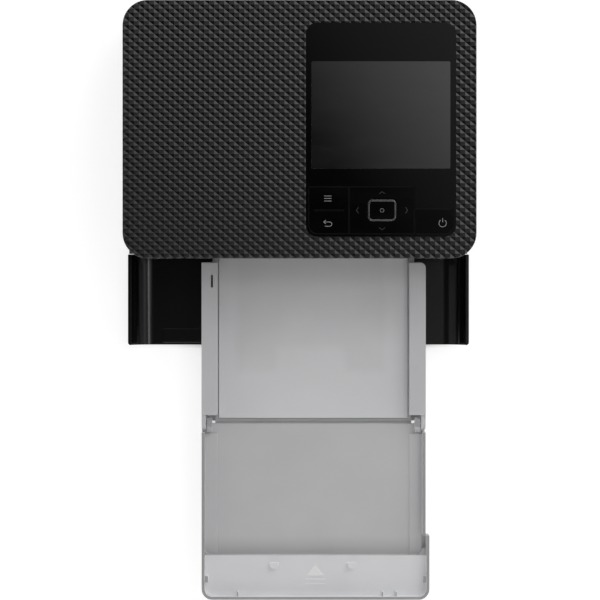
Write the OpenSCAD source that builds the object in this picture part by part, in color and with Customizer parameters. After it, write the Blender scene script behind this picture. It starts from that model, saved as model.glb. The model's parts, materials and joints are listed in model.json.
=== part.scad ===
// Compact photo printer, standing on a table with its front door folded down
// and its paper cassette seated. Millimetres, +Z up. The origin lies on the
// table under the middle of the body, +X is to the right and the front faces -Y.

/* [Body] */
// Width of the body
body_w = 182.2; // [178:0.2:188]
// Depth of the body
body_d = 133; // [130:0.5:138]
// Height of the body from the table to the raised select key
body_h = 57.6; // [57:0.2:60]
// Corner radius of the body seen from above
corner_r = 13; // [11:0.5:15]
// Wall thickness of the housings
wall = 2.2; // [1.8:0.1:2.6]
// Part of the rubber feet that shows below the body
foot_h = 1.6; // [1:0.1:2.4]
// Radius of a rubber foot
foot_r = 6; // [4:0.5:7]
// Depth of the diamond pattern that stands on the top cover
texture_h = 0.6; // [0.4:0.1:0.8]
// Height of the top cover's skirt
cover_skirt = 4.2; // [3.6:0.1:4.6]
// Radius round the top cover's upper edge
cover_edge_r = 2; // [0.8:0.1:2.2]

/* [Control panel] */
// Width of the control panel
panel_w = 77.2; // [74:0.2:80]
// Depth of the control panel
panel_d = 110.2; // [106:0.2:112]
// Distance from the panel to the body's right side
panel_margin = 10.6; // [9:0.1:12]
// Corner radius of the panel
panel_r = 6; // [4:0.5:7]
// Thickness of the panel
panel_t = 1.4; // [1.2:0.1:1.6]
// Width of the display window
display_w = 71.5; // [68:0.5:72]
// Depth of the display window
display_d = 55.2; // [50:0.2:56]
// Distance from the panel's rear edge to the window
display_drop = 19.9; // [18:0.1:21]
// Depth of the row of keys
keys_d = 25.8; // [24:0.2:26]
// Width of the left rocker key
rocker_w = 21; // [19:0.5:22]
// Width of the four-way key
nav_w = 33.5; // [30:0.5:35]
// Gap between a key and what surrounds it
key_gap = 0.25; // [0.2:0.05:0.4]
// How far a key sinks when pressed
key_travel = 0.3; // [0.2:0.05:0.35]
// Width of the select key's ring
select_w = 14.3; // [12:0.1:15]
// Depth of the select key's ring
select_d = 10.8; // [9:0.1:12]

/* [Front door] */
// Thickness of the front door
door_t = 1.8; // [1.6:0.1:2.2]
// Depth of the rebate that the closed door lies in
door_rebate = 3; // [2.6:0.1:3.4]
// Length of each hinge knuckle
knuckle_l = 12; // [8:0.5:16]
// Distance of a knuckle from the middle of the body
knuckle_x = 62; // [50:1:66]
// Radius of the door's hinge pins
door_pin_r = 0.9; // [0.7:0.1:1.1]

/* [Ink door] */
// Length of the ink door along the side
ink_door_l = 68; // [64:0.5:70]
// Height of the ink door's opening above the table
ink_door_z = 24.6; // [24:0.2:25]

/* [Paper cassette] */
// Width of the sheets that the cassette holds
paper_w = 100; // [99:0.5:101]
// Length of the sheets that the cassette holds
paper_l = 148; // [146:0.5:148.5]
// Distance of the cassette's middle from the body's middle, to the right
cassette_x = 7.8; // [7:0.1:9]
// Height of the cassette's underside above the table
cassette_z = 11.6; // [11.2:0.1:12]
// Wall thickness of the cassette
cassette_t = 1.6; // [1.4:0.1:1.8]
// Width of each side rail of the cassette
rail_w = 8.6; // [8:0.1:9.5]
// Height of the rails above the table
rail_z = 30; // [28:0.2:31]
// Height of the inner lid's top above the table
lid_z = 22; // [21.8:0.1:22.4]
// Length of the output cover from its hinge
cover_l = 93; // [86:0.5:96]
// Height of the output cover's rim
rim_h = 9; // [7:0.5:9.5]
// Length of the raised lip at the end of the output cover
lip_l = 23; // [20:0.5:26]

/* [Mechanism] */
// Radius of the platen roller
platen_r = 6; // [5.5:0.1:6.2]
// Distance from the platen's axis to the body's rear
platen_back = 54.5; // [54:0.1:55]
// Height of the platen's and the capstan's axes
drive_z = 20; // [19.8:0.1:20.2]
// Radius of the steel shafts
shaft_r = 1.5; // [1.2:0.1:1.8]
// Clearance between a turning shaft and its bore
shaft_gap = 0.05; // [0.03:0.01:0.08]
// Module of the gears
gear_module = 0.6; // [0.58:0.01:0.62]
// Teeth on the platen, idler and capstan gears
drive_teeth = 30; // [30:1:31]
// Teeth on the two motor pinions
pinion_teeth = 12; // [11:1:13]
// Teeth on the take-up gear
takeup_teeth = 36; // [34:1:37]
// Width of the gears
gear_w = 4; // [3:0.5:4.5]
// Side of the square cooling fan
fan_size = 30; // [26:1:32]

/* [Hidden] */
$fn = 48;
eps = 0.01;
seat_gap = 0.1;        // between fixed pieces that are let into each other
slide_gap = 0.3;       // between pieces that slide past each other

// Body levels and planes
half_w = body_w / 2;
half_d = body_d / 2;
floor_z = foot_h + wall;
key_rise = 0.3;                                // the select key's ring above the panel
cover_top = body_h - texture_h;
panel_top = body_h - key_rise;
split_z = cover_top - cover_skirt;
roof_z = cover_top - wall;
rebate_r = corner_r - door_rebate;
face_y = -half_d + door_rebate;                // the body's front behind the closed door
rebate_y = -half_d + corner_r + 0.5;           // where the door's curled ends stop
opening_x = half_w - corner_r;                 // half width of the front and rear openings
post_x = half_w - 8.1;
post_front_y = -half_d + 16.5;
post_rear_y = half_d - 9.5;
post_r = 4.2;
well_r = 2.8;
screw_r = 1.25;
screw_head_r = 2.5;
screw_gap = 0.1;
foot_x = half_w - 14;
foot_y = half_d - 23.5;
foot_pocket = 0.6;
platen_y = half_d - platen_back;

// Door hinge: the closed door's outer face is flush with the body
hinge_offset = 2.5;
hinge_y = -half_d + hinge_offset;
nose_r = 2.1;
hinge_z = foot_h + nose_r;
door_clear = 2.5;                              // from the hinge axis to the door's plate
door_reach = split_z - 0.4 - hinge_z;          // from the hinge axis to the free edge
door_under = hinge_z - hinge_offset;           // underside of the door when it lies open
door_corner_r = 1.6;
ledge_t = 1;
ledge_l = 8.5;
ledge_x0 = -73;
ledge_x1 = 66;
knuckle_gap = 0.3;
pin_over = 4;                                  // how far a door pin reaches into each lug

// Panel and keys
panel_x = half_w - panel_margin - panel_w / 2;
panel_back_y = panel_d / 2 - 0.3;
panel_mid_y = panel_back_y - panel_d / 2;
panel_under = panel_top - panel_t;
panel_ledge = 1;
display_y = panel_back_y - display_drop - display_d / 2;
display_t = 1;
keys_edge = 1.4;                               // panel left standing round the keys
keys_x0 = panel_x - panel_w / 2 + keys_edge;
keys_x1 = panel_x + panel_w / 2 - keys_edge;
keys_y0 = panel_mid_y - panel_d / 2 + keys_edge;
keys_y1 = keys_y0 + keys_d - keys_edge;
keys_y = (keys_y0 + keys_y1) / 2;
keys_r = panel_r - keys_edge;
seam_w = 0.3;                                  // bar of the panel between two keys
rocker_x1 = keys_x0 + rocker_w - seam_w;
nav_x0 = keys_x0 + rocker_w;
nav_x1 = nav_x0 + nav_w;
nav_x = (nav_x0 + nav_x1) / 2;
power_x0 = nav_x1 + seam_w;
power_d = 13;
select_r = 2.2;
select_wall = 0.7;
dome_h = 0.7;
dome_r = 2.2;
board_t = 1.2;
key_stroke_gap = 0.05;
stem_z = roof_z - 0.95;
dome_top = stem_z - key_travel - key_stroke_gap;
key_board_z = dome_top - dome_h - board_t;
key_board_x0 = keys_x0 - 7;
key_board_x1 = keys_x1 + 5;
cap_skirt_z = roof_z + 0.1;
nav_pad_top = cap_skirt_z - 0.5;
nav_pad_t = 0.4;

// Side door for the ribbon cassette
ink_door_y = platen_y;
ink_door_h = split_z - 2.6 - ink_door_z;
ink_axis_r = wall / 2;
ink_axis_x = half_w - ink_axis_r;
ink_axis_z = ink_door_z + slide_gap + ink_axis_r;
ink_pin_r = 0.7;
ink_pin_l = 6;

// Paper cassette
bay_x0 = cassette_x - (paper_w + 1) / 2;
bay_x1 = cassette_x + (paper_w + 1) / 2;
cassette_y1 = platen_y - platen_r - 6;         // inner end of the cassette
end_wall = 1.8;
bay_y1 = cassette_y1 - end_wall;
bay_y0 = bay_y1 - paper_l - 1.6;
base_y0 = bay_y0 - cassette_t;                 // outer end of the cassette base
bay_wall = 3;
inner_x0 = bay_x0 - bay_wall;                  // sides of the part that goes into the body
inner_x1 = bay_x1 + bay_wall;
outer_x0 = bay_x0 - rail_w;
outer_x1 = bay_x1 + rail_w;
shoulder_y = -half_d - 2;
bay_floor = cassette_z + cassette_t;
lid_t = 1.8;
lid_under = lid_z - lid_t;
lid_y1 = cassette_y1 - 30;
side_top = lid_z - 0.2;
end_top = lid_under - 0.2;
groove_z = cassette_z + 3.2;
groove_h = 3;
groove_depth = 1.4;
mouth_gap = 0.8;
mouth_top = rail_z + 3.5;
cover_hinge_y = base_y0 - 0.5;
cover_hinge_z = lid_z + 3.5;
lug_r = 3.3;
lug_t = 2.4;
lug_pin_r = 1.2;
ear_t = 2.8;
cover_y0 = cover_hinge_y - cover_l;
cover_y1 = cover_hinge_y - 0.4;
rim_y1 = cover_hinge_y - 4.7;                  // where the rim stops short of the hinge
cover_z = lid_z - 2;
cover_step_y = cover_y0 + 34;
cover_step = 2;
cover_r = 5.7;
lip_rise = 2.6;
lip_y1 = cover_y0 + lip_l;
lift_x0 = bay_x0 + 8;
lift_x1 = bay_x1 - 13;
lift_y0 = bay_y0 + 25;
lift_y1 = bay_y1 - 2;
lift_t = 1.2;
lift_z = bay_floor + 0.3;
lift_axis_y = lift_y0 + 1.2;
lift_pin_r = 0.55;
lift_ear = 1;                                  // ear height over the pivot's axis

// Chassis and paper path
plate_t = 1;
left_x = bay_x0 - 12;                          // inner face of the left chassis plate
right_x = bay_x1 + 12;                         // inner face of the right chassis plate
chassis_y0 = post_front_y + post_r + 1;
chassis_y1 = post_rear_y - post_r - 1;
chassis_top = split_z - 1.8;
flange_w = 6;
flange_inset = 10;
flange_screw_y = [chassis_y0 + flange_inset + 4, chassis_y1 - flange_inset - 4];
pitch_r = gear_module * drive_teeth / 2;
idler_y = platen_y + 2 * pitch_r;
capstan_y = idler_y + 2 * pitch_r;
capstan_r = platen_r - 1;
pinch_r = 4;
pinch_z = drive_z + capstan_r + pinch_r + 0.05;
pinion_pitch_r = gear_module * pinion_teeth / 2;
feed_motor_z = drive_z + pitch_r + pinion_pitch_r;
gear_x1 = left_x - plate_t - 1;                // gears lie outside the left plate
gear_x0 = gear_x1 - gear_w;
shaft_x0 = gear_x0 - 0.5;
shaft_x1 = right_x + plate_t + 1;
roller_x0 = bay_x0 - 4;
roller_x1 = bay_x1 + 4;
spool_offset = 20;
case_t = 0.8;
case_z = drive_z + platen_r + 2.1;             // underside of the ribbon case
case_r = (chassis_top - 4.1 - case_z) / 2;
spool_r = case_r - case_t - 0.6;
spool_z = case_z + case_r;
takeup_y = platen_y - spool_offset;
supply_y = platen_y + spool_offset;
takeup_pitch_r = gear_module * takeup_teeth / 2;
ribbon_motor_y = takeup_y - takeup_pitch_r - pinion_pitch_r;
spool_shaft_r = 2;
case_x0 = left_x + 2.4;
case_x1 = right_x - 3.6;
case_end_t = 1.6;
film_z = drive_z + platen_r + 0.15;
film_t = 0.2;
guide_top = drive_z + 4.4;
guide_t = 1.6;
bracket_x = gear_x0 - 1;                       // right face of the motor bracket
bracket_top = split_z - 5.3;
bracket_z = drive_z + 4;
feed_motor_r = 12;
feed_motor_l = 15;
ribbon_motor_r = bracket_top - 1 - spool_z;
ribbon_motor_l = 16;
arm_pivot_y = chassis_y0 + 5;
arm_pivot_z = spool_z + 0.5;
arm_shaft_r = 2;
pickup_r = 6;
pickup_w = 30;
pickup_y = cassette_y1 - 21;
pickup_z = lid_z - 0.5 + pickup_r;
head_pivot_y = capstan_y - 2;
head_pivot_z = chassis_top - 4;
head_plate_z = chassis_top - 1.8;
head_x0 = roller_x0;
head_x1 = roller_x1;
head_nose_z = film_z + 2.25;
sink_z = head_nose_z + 2.6;
fan_t = 8;
fan_x = -half_w + wall + 0.2;
fan_y = (ribbon_motor_y + ribbon_motor_r + idler_y - feed_motor_r) / 2;
fan_z = floor_z + 6 + fan_size / 2;

// Boards and sockets along the left side
main_board_z = split_z - 2.2;
card_x1 = gear_x0 - 0.2;
main_board_x0 = -half_w + wall + 1.9;
main_board_x1 = bracket_x - 1;
card_w = 26;
card_y = post_front_y + post_r + 4 + card_w / 2;
card_h = 2.8;
usb_y = card_y + card_w / 2 + 13;
inlet_x = -half_w + 19;
inlet_z = drive_z + pitch_r + gear_module + 6.6;
inlet_r = 4;
inlet_bore_r = 2.9;

// ---------- shapes that repeat ----------

// Rounded rectangle, centred
module rounded_rect(w, d, r) {
    square([w - 2 * r, d], center = true);
    square([w, d - 2 * r], center = true);
    for (x = [-1, 1], y = [-1, 1])
        translate([x * (w / 2 - r), y * (d / 2 - r)])
            circle(r);
}

// Plate with a rounded outline, standing on z
module rounded_plate(w, d, r, z, h) {
    translate([0, 0, z])
        linear_extrude(h)
            rounded_rect(w, d, r);
}

// Box between two opposite corners
module block(a, b) {
    translate(a)
        cube(b - a);
}

// Cylinder along X from x0 to x1, at a place in Y and Z
module rod_x(x0, x1, y, z, r) {
    translate([x0, y, z])
        rotate([0, 90, 0])
            cylinder(r = r, h = x1 - x0);
}

// Profile across a plate whose upper edges are rounded by e
module edge_profile(w, e) {
    intersection() {
        union() {
            translate([-w / 2 + e, 0])
                square([w - 2 * e, e]);
            for (x = [-1, 1])
                translate([x * (w / 2 - e), 0])
                    circle(e);
        }
        translate([-w / 2, 0])
            square([w, e]);
    }
}

// Rounded plate whose upper edge is rounded by e all round
module soft_plate(w, d, r, z, h, e) {
    rounded_plate(w, d, r, z, h - e);
    translate([0, 0, z + h - e]) {
        rotate([90, 0, 90])
            linear_extrude(w - 2 * r, center = true)
                edge_profile(d, e);
        rotate([90, 0, 0])
            linear_extrude(d - 2 * r, center = true)
                edge_profile(w, e);
        for (x = [-1, 1], y = [-1, 1])
            translate([x * (w / 2 - r), y * (d / 2 - r), 0])
                rotate_extrude()
                    intersection() {
                        union() {
                            square([r - e, e]);
                            translate([r - e, 0])
                                circle(e);
                        }
                        square([r, e]);
                    }
    }
}

// Point of an involute that unwinds from a circle of radius rb
function involute(rb, t) = [
    rb * (cos(t) + t * PI / 180 * sin(t)),
    rb * (sin(t) - t * PI / 180 * cos(t))
];
function turned(p, a) = [p[0] * cos(a) - p[1] * sin(a), p[0] * sin(a) + p[1] * cos(a)];

// Spur gear lying in a plane, one tooth on the +X axis when phase is 0
gear_pressure = 20;
gear_backlash = 0.16;
module gear_outline(teeth, phase = 0) {
    pitch = gear_module * teeth / 2;
    base = pitch * cos(gear_pressure);
    tip = pitch + 0.9 * gear_module;
    root = pitch - 1.2 * gear_module;
    tip_roll = sqrt(tip * tip / (base * base) - 1) * 180 / PI;
    at_pitch = tan(gear_pressure) * 180 / PI - gear_pressure;
    half_tooth = 90 / teeth - gear_backlash / pitch * 90 / PI + at_pitch;
    flank = [for (i = [0:4]) turned(involute(base, tip_roll * i / 4), -half_tooth)];
    start = [min(root, base) * cos(half_tooth), -min(root, base) * sin(half_tooth)];
    half = concat([start], flank);
    whole = concat(half, [for (i = [len(half) - 1:-1:0]) [half[i][0], -half[i][1]]]);
    polygon([for (k = [0:teeth - 1]) for (p = whole) turned(p, phase + 360 * k / teeth)]);
}

// Gear along X with a bore, at a place in Y and Z
module gear_x(teeth, y, z, bore, phase = 0) {
    translate([gear_x0, y, z])
        rotate([90, 0, 90])
            linear_extrude(gear_w)
                difference() {
                    gear_outline(teeth, phase);
                    circle(bore);
                }
}

// ---------- housing ----------

// Footprint of the body below the top cover: the front is set back for the door
module body_footprint() {
    intersection() {
        rounded_rect(body_w, body_d, corner_r);
        translate([-half_w, rebate_y])
            square([body_w, body_d]);
    }
    rounded_rect(body_w - 2 * door_rebate, body_d - 2 * door_rebate, rebate_r);
}

module body_cavity() {
    intersection() {
        rounded_rect(body_w - 2 * wall, body_d - 2 * wall, corner_r - wall);
        translate([-half_w, rebate_y])
            square([body_w, body_d]);
    }
    rounded_rect(
        body_w - 2 * (door_rebate + wall),
        body_d - 2 * (door_rebate + wall),
        rebate_r - wall
    );
}

module at_posts() {
    for (x = [-post_x, post_x], y = [post_front_y, post_rear_y])
        translate([x, y, 0])
            children();
}

module at_flange_screws() {
    for (x = [left_x + flange_w / 2, right_x - flange_w / 2], y = flange_screw_y)
        translate([x, y, 0])
            children();
}

module at_feet() {
    for (x = [-foot_x, foot_x], y = [-foot_y, foot_y])
        translate([x, y, 0])
            children();
}

well_top = split_z - 9;
head_t = 1.2;

module base_shell() {
    color([0.07, 0.07, 0.08])
    difference() {
        union() {
            difference() {
                translate([0, 0, foot_h])
                    linear_extrude(split_z - foot_h)
                        body_footprint();
                translate([0, 0, floor_z])
                    linear_extrude(body_h)
                        body_cavity();
                // front and rear openings, closed by their own frames
                block([-opening_x, -half_d, floor_z + wall + 0.4], [opening_x, rebate_y, body_h]);
                block([-opening_x, half_d - corner_r, floor_z], [opening_x, half_d + 1, body_h]);
            }
            // sills that fill the front corners behind the door's curled ends
            for (x = [-half_w, opening_x])
                block([x, hinge_y + 0.2, foot_h], [x + corner_r, -half_d + corner_r + 1, foot_h + 1.4]);
            // rounded nose that carries the door's hinge
            rod_x(-opening_x, opening_x, hinge_y, hinge_z, nose_r);
            block([-opening_x, hinge_y, foot_h], [opening_x, face_y + wall, hinge_z]);
            at_posts()
                translate([0, 0, floor_z - eps])
                    cylinder(r = post_r, h = split_z - floor_z + eps);
            // risers under the fan and the power inlet
            block([fan_x, fan_y - fan_size / 2 + 2, floor_z - eps],
                [fan_x + fan_t, fan_y + fan_size / 2 - 2, fan_z - fan_size / 2]);
            block([inlet_x - 5, half_d - wall - 6, floor_z - eps],
                [inlet_x + 5, half_d - wall - 3, inlet_z - 6]);
        }
        // screw wells through the posts
        at_posts() {
            translate([0, 0, foot_h - 1])
                cylinder(r = well_r, h = well_top - foot_h + 1);
            cylinder(r = screw_r + screw_gap, h = body_h);
        }
        at_flange_screws() {
            cylinder(r = screw_r + screw_gap, h = body_h / 4);
            cylinder(r = well_r, h = foot_h + head_t);
        }
        at_feet()
            cylinder(r = foot_r + seat_gap, h = foot_h + foot_pocket);
        // gaps in the nose for the door's knuckles
        for (side = [-1, 1])
            translate([side * knuckle_x, 0, 0])
                block([-knuckle_l / 2 - knuckle_gap, -half_d - 3, 0],
                    [knuckle_l / 2 + knuckle_gap, hinge_y + nose_r + 0.5, hinge_z + nose_r + 0.5]);
        door_pin_bores(door_pin_r + 0.02);
        // ink door opening and its pin bores
        block([half_w - corner_r / 2, ink_door_y - ink_door_l / 2, ink_door_z],
            [half_w + 1, ink_door_y + ink_door_l / 2, ink_door_z + ink_door_h]);
        translate([ink_axis_x, ink_door_y - ink_door_l / 2 - ink_pin_l / 2, ink_axis_z])
            rotate([-90, 0, 0])
                cylinder(r = ink_pin_r + 0.02, h = ink_door_l + ink_pin_l);
        // card slot, socket and air slots in the left side
        block([-half_w - 1, card_y - card_w / 2 + 0.8, main_board_z - card_h + 0.3],
            [-half_w + wall + 1, card_y + card_w / 2 - 0.8, main_board_z - 0.3]);
        translate([-half_w - 1, usb_y, main_board_z - 1.7])
            rotate([90, 0, 90])
                linear_extrude(wall + 2)
                    rounded_rect(9.4, 3.2, 1.5);
        for (k = [-4:4])
            translate([-half_w, fan_y, fan_z + k * 2.7])
                rotate([90, 0, 90])
                    linear_extrude(2 * wall + 2, center = true)
                        rounded_rect(sqrt(1 - k * k / 26) * (fan_size - 4), 1.4, 0.65);
    }
}

// Both knuckle gaps and the lugs beside them, bored for the door's pins
module door_pin_bores(r) {
    for (side = [-1, 1])
        rod_x(side * knuckle_x - knuckle_l / 2 - pin_over, side * knuckle_x + knuckle_l / 2 + pin_over,
            hinge_y, hinge_z, r);
}

module rubber_feet() {
    color([0.12, 0.12, 0.12])
    at_feet() {
        cylinder(r = foot_r, h = foot_h + foot_pocket);
    }
}

slot_z0 = drive_z + 2;
slot_z1 = drive_z + 9;

module rear_panel() {
    color([0.07, 0.07, 0.08])
    difference() {
        block([-opening_x + seat_gap, half_d - wall, floor_z],
            [opening_x - seat_gap, half_d, split_z - seat_gap]);
        // the sheet comes out here for a moment in each pass
        translate([cassette_x, half_d, (slot_z0 + slot_z1) / 2])
            rotate([90, 0, 0])
                linear_extrude(2 * wall + 2, center = true)
                    rounded_rect(paper_w + 6, slot_z1 - slot_z0, 1.5);
        for (k = [0:11])
            translate([cassette_x + (k - 5.5) * 6, half_d, slot_z1 + 11])
                rotate([90, 0, 0])
                    linear_extrude(2 * wall + 2, center = true)
                        rounded_rect(2.4, 12, 1.1);
        translate([inlet_x, half_d + 1, inlet_z])
            rotate([90, 0, 0])
                cylinder(r = inlet_r + seat_gap, h = wall + 2);
    }
}

module front_frame() {
    sill_z = floor_z + wall + 0.4;
    color([0.05, 0.05, 0.055])
    difference() {
        union() {
            block([-opening_x + seat_gap, face_y, sill_z],
                [opening_x - seat_gap, face_y + wall, split_z - seat_gap]);
            // hood over the mouth that guides the finished sheet
            block([inner_x0 - 2, face_y + wall - eps, mouth_top],
                [inner_x1 + 2, face_y + wall + 4, mouth_top + 1.4]);
        }
        block([inner_x0 - mouth_gap - 1.8, face_y - 1, cassette_z - 2.1],
            [inner_x1 + mouth_gap + 1.8, face_y + wall + 1, mouth_top]);
    }
}

module panel_plate(gap, z0, z1) {
    translate([panel_x, panel_mid_y, 0])
        rounded_plate(panel_w - 2 * gap, panel_d - 2 * gap, panel_r - gap, z0, z1 - z0);
}

module at_cover_bosses(z0, z1, r) {
    for (x = [key_board_x0 + 2.5, key_board_x1 - 2.5])
        for (y = [post_front_y + post_r + 3.2, keys_y + keys_d / 2 - 1])
            translate([x, y, z0])
                cylinder(r = r, h = z1 - z0);
}

module at_display_bosses(z0, z1, r) {
    for (x = [key_board_x0 + 2.5, key_board_x1 - 2.5], y = [-18, 18])
        translate([x, display_y + y, z0])
            cylinder(r = r, h = z1 - z0);
}

module at_main_bosses(z0, z1, r) {
    for (x = [main_board_x0 + 5, main_board_x1 - 3], y = [card_y + card_w / 2 + 4, idler_y + 16])
        translate([x, y, z0])
            cylinder(r = r, h = z1 - z0);
}

main_board_top = main_board_z + board_t;

module top_cover() {
    color([0.11, 0.11, 0.115])
    difference() {
        union() {
            difference() {
                soft_plate(body_w, body_d, corner_r, split_z, cover_skirt, cover_edge_r);
                rounded_plate(body_w - 2 * wall, body_d - 2 * wall, corner_r - wall,
                    split_z - 1, roof_z - split_z + 1);
                // pocket for the panel over a narrow ledge
                panel_plate(-seat_gap, panel_under, body_h);
                panel_plate(panel_ledge, split_z, body_h);
            }
            at_posts()
                translate([0, 0, split_z])
                    cylinder(r = post_r - 0.6, h = roof_z - split_z + eps);
            at_cover_bosses(key_board_z + board_t, roof_z + eps, 2);
            at_display_bosses(display_ear_top, roof_z + eps, 2);
            at_main_bosses(main_board_top, roof_z + eps, 2.2);
        }
        at_posts()
            cylinder(r = screw_r + 0.02, h = cover_top - 1);
    }
}

module control_panel() {
    color([0.015, 0.015, 0.018])
    difference() {
        panel_plate(0, panel_under, panel_top);
        translate([panel_x, display_y, 0])
            rounded_plate(display_w, display_d, 0.8, panel_top - display_t, 3);
        translate([panel_x, display_y, 0])
            rounded_plate(display_w - 3, display_d - 3, 0.8, panel_under - 1, 5);
        translate([0, 0, panel_under - 1])
            linear_extrude(5) {
                key_opening(keys_x0, rocker_x1, keys_y0, keys_y1);
                key_opening(nav_x0, nav_x1, keys_y0, keys_y1);
                key_opening(power_x0, keys_x1, keys_y0, keys_y0 + power_d);
            }
    }
}

module display_window() {
    color([0.10, 0.10, 0.11])
    translate([panel_x, display_y, 0])
        rounded_plate(display_w - 0.1, display_d - 0.1, 0.75, panel_top - display_t, display_t);
}

display_ear_top = panel_under - 2.4;

module display_module() {
    color([0.55, 0.56, 0.58])
    difference() {
        union() {
            translate([panel_x, display_y, 0])
                rounded_plate(display_w + 1, display_d + 1, 1, panel_under - 3.6, 3.5);
            // ears that are screwed to the cover's bosses
            for (y = [-18, 18])
                block([key_board_x0, display_y + y - 3, display_ear_top - 1],
                    [key_board_x1, display_y + y + 3, display_ear_top]);
        }
        at_display_bosses(display_ear_top - 2, display_ear_top + 1, 1.1);
    }
}

// Opening for a key: square towards its neighbours, rounded at the panel's corners
module key_opening(x0, x1, y0, y1) {
    intersection() {
        translate([x0, y0])
            square([x1 - x0, y1 - y0]);
        translate([panel_x, panel_mid_y])
            rounded_rect(panel_w - 2 * keys_edge, panel_d - 2 * keys_edge, keys_r);
    }
}

module key_cap(x0, x1, y0, y1) {
    translate([0, 0, cap_skirt_z])
        linear_extrude(panel_top - cap_skirt_z)
            intersection() {
                translate([x0 + key_gap, y0 + key_gap])
                    square([x1 - x0 - 2 * key_gap, y1 - y0 - 2 * key_gap]);
                translate([panel_x, panel_mid_y])
                    rounded_rect(panel_w - 2 * keys_edge - 2 * key_gap,
                        panel_d - 2 * keys_edge - 2 * key_gap, keys_r - key_gap);
            }
}

rocker_x = (keys_x0 + rocker_x1) / 2;
rocker_dome = 6.5;             // distance of each dome from the rocker's middle
nav_dome_x = nav_w / 2 - 5;
nav_dome_y = keys_d / 2 - 4.2;
power_x = keys_x1 - 5.5;
power_y = keys_y0 + power_d / 2;

// Places of the dome switches under the keys
DOMES = [
    [rocker_x, keys_y - rocker_dome], [rocker_x, keys_y + rocker_dome],
    [nav_x - nav_dome_x, keys_y], [nav_x + nav_dome_x, keys_y],
    [nav_x, keys_y - nav_dome_y], [nav_x, keys_y + nav_dome_y],
    [nav_x, keys_y], [power_x, power_y]
];

module key_stem(place, r = 1.6, top = cap_skirt_z + eps) {
    translate([place[0], place[1], stem_z])
        cylinder(r = r, h = top - stem_z);
}

module key_board() {
    color([0.05, 0.25, 0.12])
    difference() {
        union() {
            block([key_board_x0, keys_y - keys_d / 2, key_board_z],
                [key_board_x1, keys_y + keys_d / 2 + 1, key_board_z + board_t]);
            for (place = DOMES)
                translate([place[0], place[1], key_board_z + board_t - eps])
                    cylinder(r1 = dome_r, r2 = dome_r * 0.7, h = dome_h + eps);
        }
        at_cover_bosses(key_board_z - 1, key_board_z + board_t + 1, 1.1);
        // corner left out for the housing's post
        block([post_x - post_r - 0.8, keys_y - keys_d / 2 - 1, key_board_z - 1],
            [key_board_x1 + 1, post_front_y + post_r + 0.8, key_board_z + board_t + 1]);
    }
}

module rocker_key() {
    color([0.02, 0.02, 0.022])
    union() {
        key_cap(keys_x0, rocker_x1, keys_y0, keys_y1);
        key_stem(DOMES[0]);
        key_stem(DOMES[1]);
        // low bar between its two ends, felt by the thumb
        translate([rocker_x, keys_y, panel_top - eps])
            linear_extrude(0.2)
                rounded_rect(15.5, 0.7, 0.3);
    }
}

// Soft carrier under the four-way key: it tips front to back with the key, and
// the key tips sideways on its two ridges
module nav_pad() {
    color([0.3, 0.3, 0.32])
    difference() {
        union() {
            translate([nav_x, keys_y, 0])
                rounded_plate(18, keys_d - 3.6, 1.5, nav_pad_top - nav_pad_t, nav_pad_t);
            for (side = [-1, 1])
                translate([nav_x, keys_y + side * (nav_dome_y - 0.2), 0])
                    rounded_plate(1.6, 4.4, 0.7, nav_pad_top - eps, cap_skirt_z - 0.03 - nav_pad_top);
            key_stem(DOMES[4], 1.6, nav_pad_top - eps);
            key_stem(DOMES[5], 1.6, nav_pad_top - eps);
        }
        translate([nav_x, keys_y, stem_z - 1])
            cylinder(r = 2.2, h = 4);
    }
}

module nav_key() {
    color([0.02, 0.02, 0.022])
    difference() {
        union() {
            key_cap(nav_x0, nav_x1, keys_y0, keys_y1);
            key_stem(DOMES[2]);
            key_stem(DOMES[3]);
        }
        translate([nav_x, keys_y, 0])
            rounded_plate(select_w + 2 * key_gap, select_d + 2 * key_gap, select_r + key_gap,
                cap_skirt_z - 1, 5);
    }
}

module select_key() {
    color([0.02, 0.02, 0.022])
    union() {
        translate([nav_x, keys_y, 0])
            rounded_plate(select_w - 2 * select_wall, select_d - 2 * select_wall,
                select_r - select_wall, cap_skirt_z, panel_top - cap_skirt_z);
        key_stem(DOMES[6]);
    }
}

module select_ring() {
    color([0.75, 0.75, 0.77])
    translate([nav_x, keys_y, 0])
        difference() {
            rounded_plate(select_w, select_d, select_r, panel_under, body_h - panel_under);
            rounded_plate(select_w - 2 * select_wall, select_d - 2 * select_wall,
                select_r - select_wall, panel_under - 1, body_h);
        }
}

module power_key() {
    color([0.02, 0.02, 0.022])
    union() {
        key_cap(power_x0, keys_x1, keys_y0, keys_y0 + power_d);
        key_stem(DOMES[7]);
    }
}

// ---------- doors ----------

// Cross-section of the front door: flat, with quarter-round ends turned up
module door_section(t) {
    intersection() {
        union() {
            translate([-opening_x, t])
                square([2 * opening_x, corner_r]);
            for (x = [-opening_x, opening_x])
                translate([x, corner_r])
                    circle(corner_r - t);
        }
        translate([-half_w - 1, 0])
            square([body_w + 2, corner_r]);
    }
}

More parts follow.
